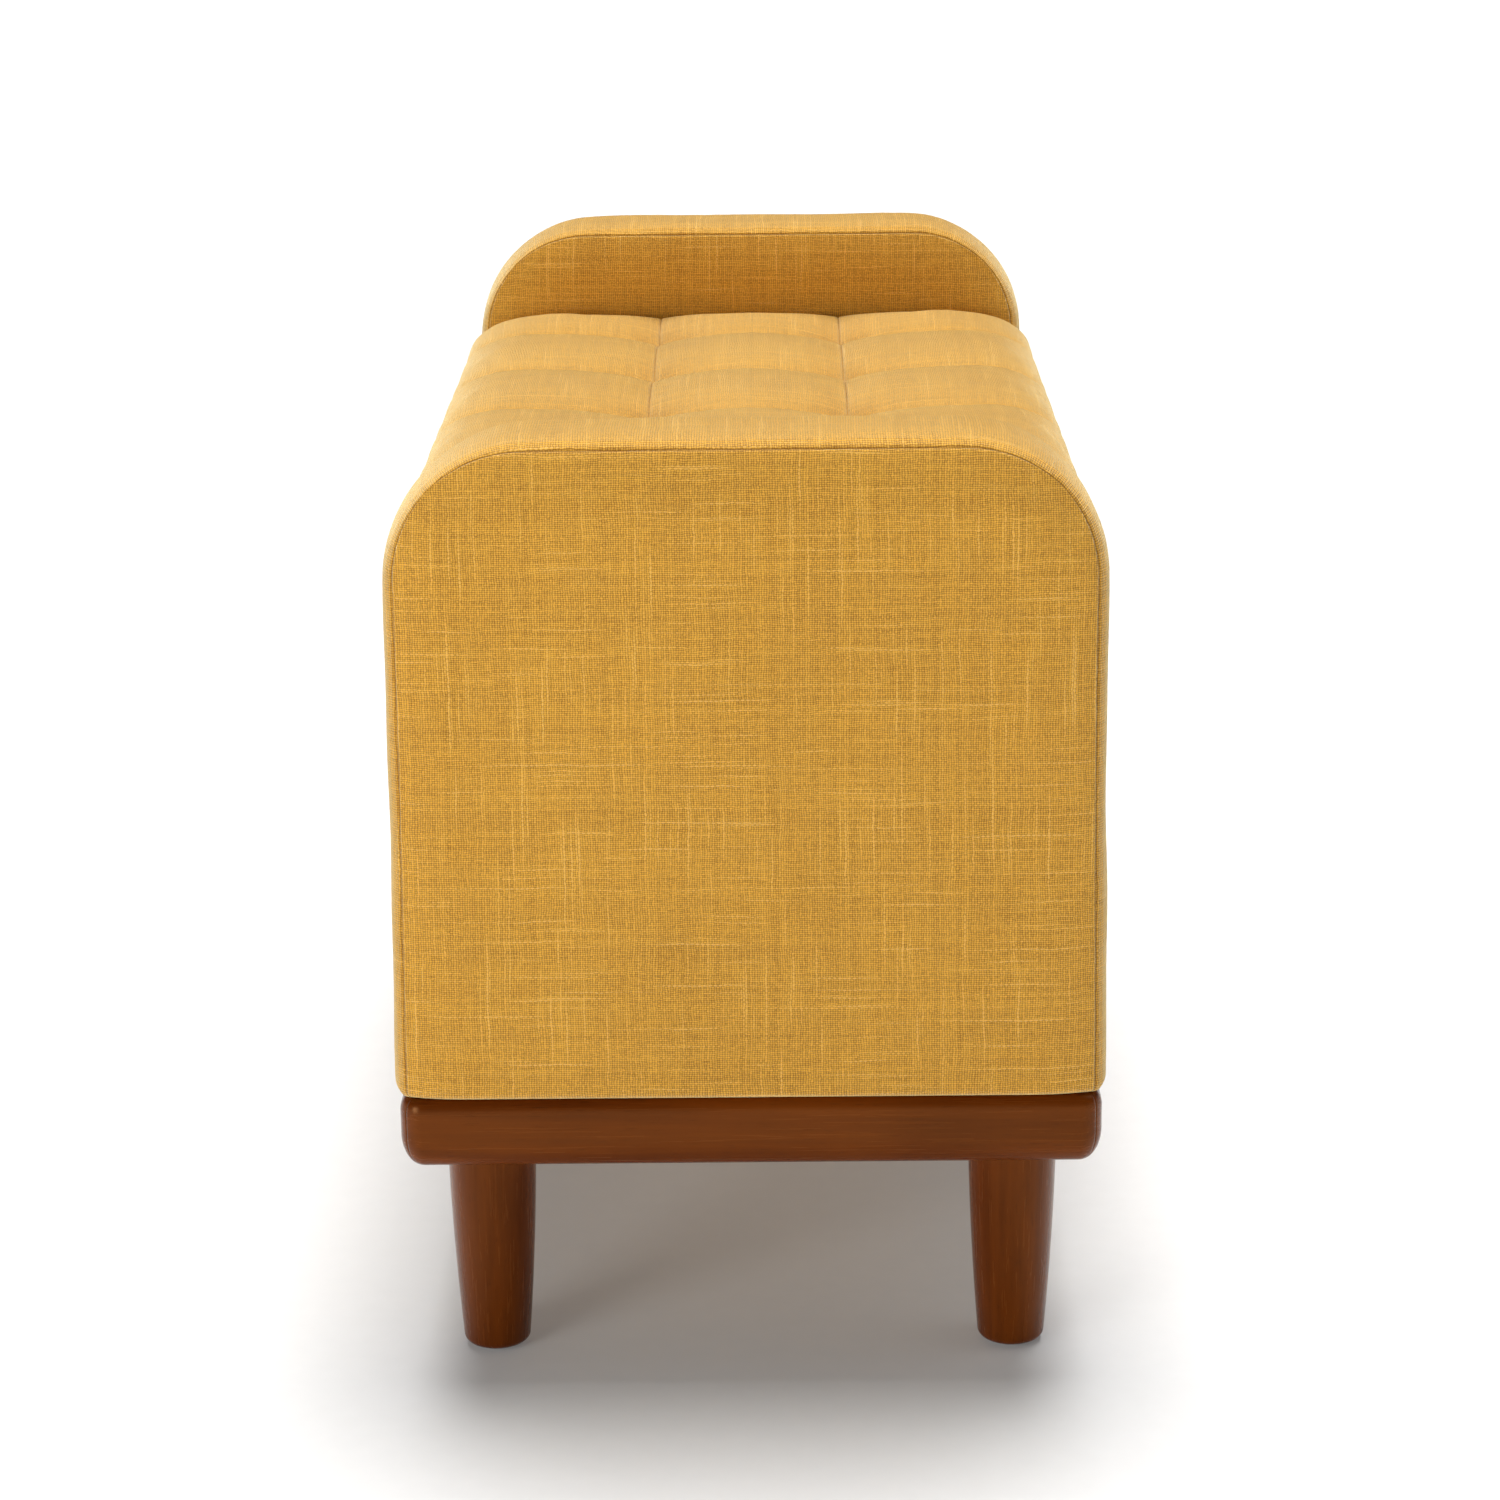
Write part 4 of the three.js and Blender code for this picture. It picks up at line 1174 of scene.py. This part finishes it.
def make_leg(corner):
    """A tapered, slightly full leg with eased edges, and the glide let into its foot."""
    low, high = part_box(f"leg_{corner}")
    centre = (low + high) / 2
    top_r = (high.x - low.x) / 2
    height = high.z - low.z
    profile = [(0, low.z), (LEG_FOOT_R - LEG_FOOT_ROUND, low.z)]
    for step in range(1, 9):
        turn = math.pi / 2 * step / 8
        profile.append((LEG_FOOT_R - LEG_FOOT_ROUND * (1 - math.sin(turn)),
                        low.z + LEG_FOOT_ROUND * (1 - math.cos(turn))))
    for step in range(1, 25):
        share = step / 24
        rise = LEG_FOOT_ROUND + (height - LEG_FOOT_ROUND - LEG_TOP_EASE) * share
        full = LEG_FULLNESS * 4 * share * (1 - share)
        profile.append((LEG_FOOT_R + (top_r - LEG_FOOT_R) * share + full, low.z + rise))
    profile += [(top_r - LEG_TOP_EASE, high.z), (0, high.z)]
    leg = turned(f"leg_{corner}_turned", profile, centre, WALNUT["z"])
    finish_piece(leg, "bench_frame", (f"leg_{corner}",))

    low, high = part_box(f"glide_{corner}")
    radius = (high.x - low.x) / 2
    edge = [(radius * share, low.z + rise) for share, rise in GLIDE_EDGE]
    profile = [(0, low.z), *edge, (radius, high.z), (0, high.z)]
    glide = turned(f"glide_{corner}_button", profile, (low + high) / 2, NYLON, 48)
    finish_piece(glide, "bench_frame", (f"glide_{corner}",))


# ---------- materials on the CAD nodes that stay ----------

def dress_cad():
    """Gives every CAD node the material of what it is made from."""
    starts = {
        "arm_bolt": STEEL, "bumper": RUBBER, "corner_block": SOFTWOOD, "glide": NYLON, "hinge": STEEL,
        "leg": WALNUT["z"], "leg_bolt": STEEL, "rail": WALNUT["x"], "stay": STEEL,
    }
    ends = {"_foam": FOAM, "_cover": LINEN, "compartment_liner": FELT, "lid_dust_cloth": FELT}
    crosswise = ("left_panel", "right_panel", "arm_left_board", "arm_right_board")
    for node, piece in CAD.items():
        material = PLYWOOD["y" if node in crosswise else "x"]
        for end, stuff in ends.items():
            material = stuff if node.endswith(end) else material
        for start, stuff in starts.items():
            material = stuff if node.startswith(start) else material
        piece.data.materials.clear()
        piece.data.materials.append(material)


# ---------- camera, floor and light ----------

def add_camera():
    sin, cos = math.sin, math.cos
    right = Vector((sin(CAMERA_YAW), cos(CAMERA_YAW), 0))
    level = Vector((-cos(CAMERA_YAW), sin(CAMERA_YAW), 0))
    forward = level * cos(CAMERA_PITCH) - Vector((0, 0, sin(CAMERA_PITCH)))
    up = right.cross(forward)
    rolled_right = cos(CAMERA_ROLL) * right + sin(CAMERA_ROLL) * up
    rolled_up = cos(CAMERA_ROLL) * up - sin(CAMERA_ROLL) * right
    data = bpy.data.cameras.new("camera")
    data.lens = CAMERA_LENS
    data.sensor_width = SENSOR
    data.sensor_fit = "HORIZONTAL"
    data.clip_end = 200
    camera = put("camera", data)
    turn = Matrix((rolled_right, rolled_up, -forward)).transposed().to_4x4()
    camera.matrix_world = Matrix.Translation(CAMERA_AT) @ turn
    SCENE.camera = camera


def add_lamp(name, place, size, power, colour):
    data = bpy.data.lights.new(name, "AREA")
    data.shape = "RECTANGLE"
    data.size, data.size_y = size
    data.energy = power
    data.color = colour
    lamp = put(name, data)
    lamp.location = place
    lamp.rotation_euler = (LAMPS_AIM - Vector(place)).to_track_quat("-Z", "Y").to_euler()


def add_overhead():
    data = bpy.data.lights.new("overhead", "SUN")
    data.angle = OVERHEAD_SOFTNESS
    data.energy = OVERHEAD_STRENGTH
    put("overhead", data).rotation_euler = Vector(OVERHEAD_FROM).to_track_quat("Z", "Y").to_euler()


def add_studio():
    """A pale floor, a world that is light at the horizon, the soft overhead light and the lamps."""
    graph = Graph("studio_floor")
    place = graph.add("ShaderNodeTexCoord").outputs["Object"]
    grain = graph.noise(place, 60.0, 3.0)
    graph.set(
        Base_Color=graph.blend(grain, (0.60, 0.60, 0.60, 1), (0.63, 0.63, 0.63, 1)),
        Roughness=0.75,
        Specular_IOR_Level=0.2,
        Emission_Color=(1.0, 1.0, 1.0, 1.0),
        Emission_Strength=FLOOR_GLOW,
        Normal=graph.bump(grain, 0.0002, 0.3),
    )
    corners = [(x * FLOOR_REACH, y * FLOOR_REACH, 0) for x, y in ((-1, -1), (1, -1), (1, 1), (-1, 1))]
    floor = make_piece("studio_ground", corners, [(0, 1, 2, 3)], graph.material)

    world = bpy.data.worlds.new("studio")
    world.use_nodes = True
    tree = world.node_tree
    background = tree.nodes["Background"]
    background.inputs["Color"].default_value = (1.0, 1.0, 1.0, 1)
    direction = tree.nodes.new("ShaderNodeTexCoord").outputs["Generated"]
    parts = tree.nodes.new("ShaderNodeSeparateXYZ")
    fade = tree.nodes.new("ShaderNodeMapRange")
    fade.interpolation_type = "SMOOTHSTEP"
    for socket, value in zip(fade.inputs[1:5], (*HORIZON_FADE, HORIZON_LIGHT, WORLD_LIGHT)):
        socket.default_value = value
    tree.links.new(direction, parts.inputs[0])
    tree.links.new(parts.outputs[2], fade.inputs[0])
    tree.links.new(fade.outputs[0], background.inputs["Strength"])
    SCENE.world = world

    add_overhead()
    for name, lamp in LAMPS.items():
        add_lamp(name, *lamp)
    SCENE.view_settings.view_transform = "Standard"
    SCENE.view_settings.look = "None"
    SCENE.view_settings.exposure = 0.0
    SCENE.view_settings.gamma = 1.0


# ---------- everything ----------

add_camera()
add_studio()
dress_cad()
make_arm("left", -1)
make_arm("right", 1)
make_cushion()
make_wall_pad("front", -1)
make_wall_pad("back", 1)
make_sheet("compartment_felt", "compartment_liner", "bench_frame",
           0.0006, 3, 0.0012)
make_sheet("lid_underlining", "lid_dust_cloth", "lid", 0.0, 5)
make_staples("lid_underlining_staples", "lid_dust_cloth", "lid")
for rail_name in ("rail_front", "rail_back", "rail_left", "rail_right"):
    make_rail(rail_name)
for corner_name in ("front_left", "front_right", "back_left", "back_right"):
    make_leg(corner_name)
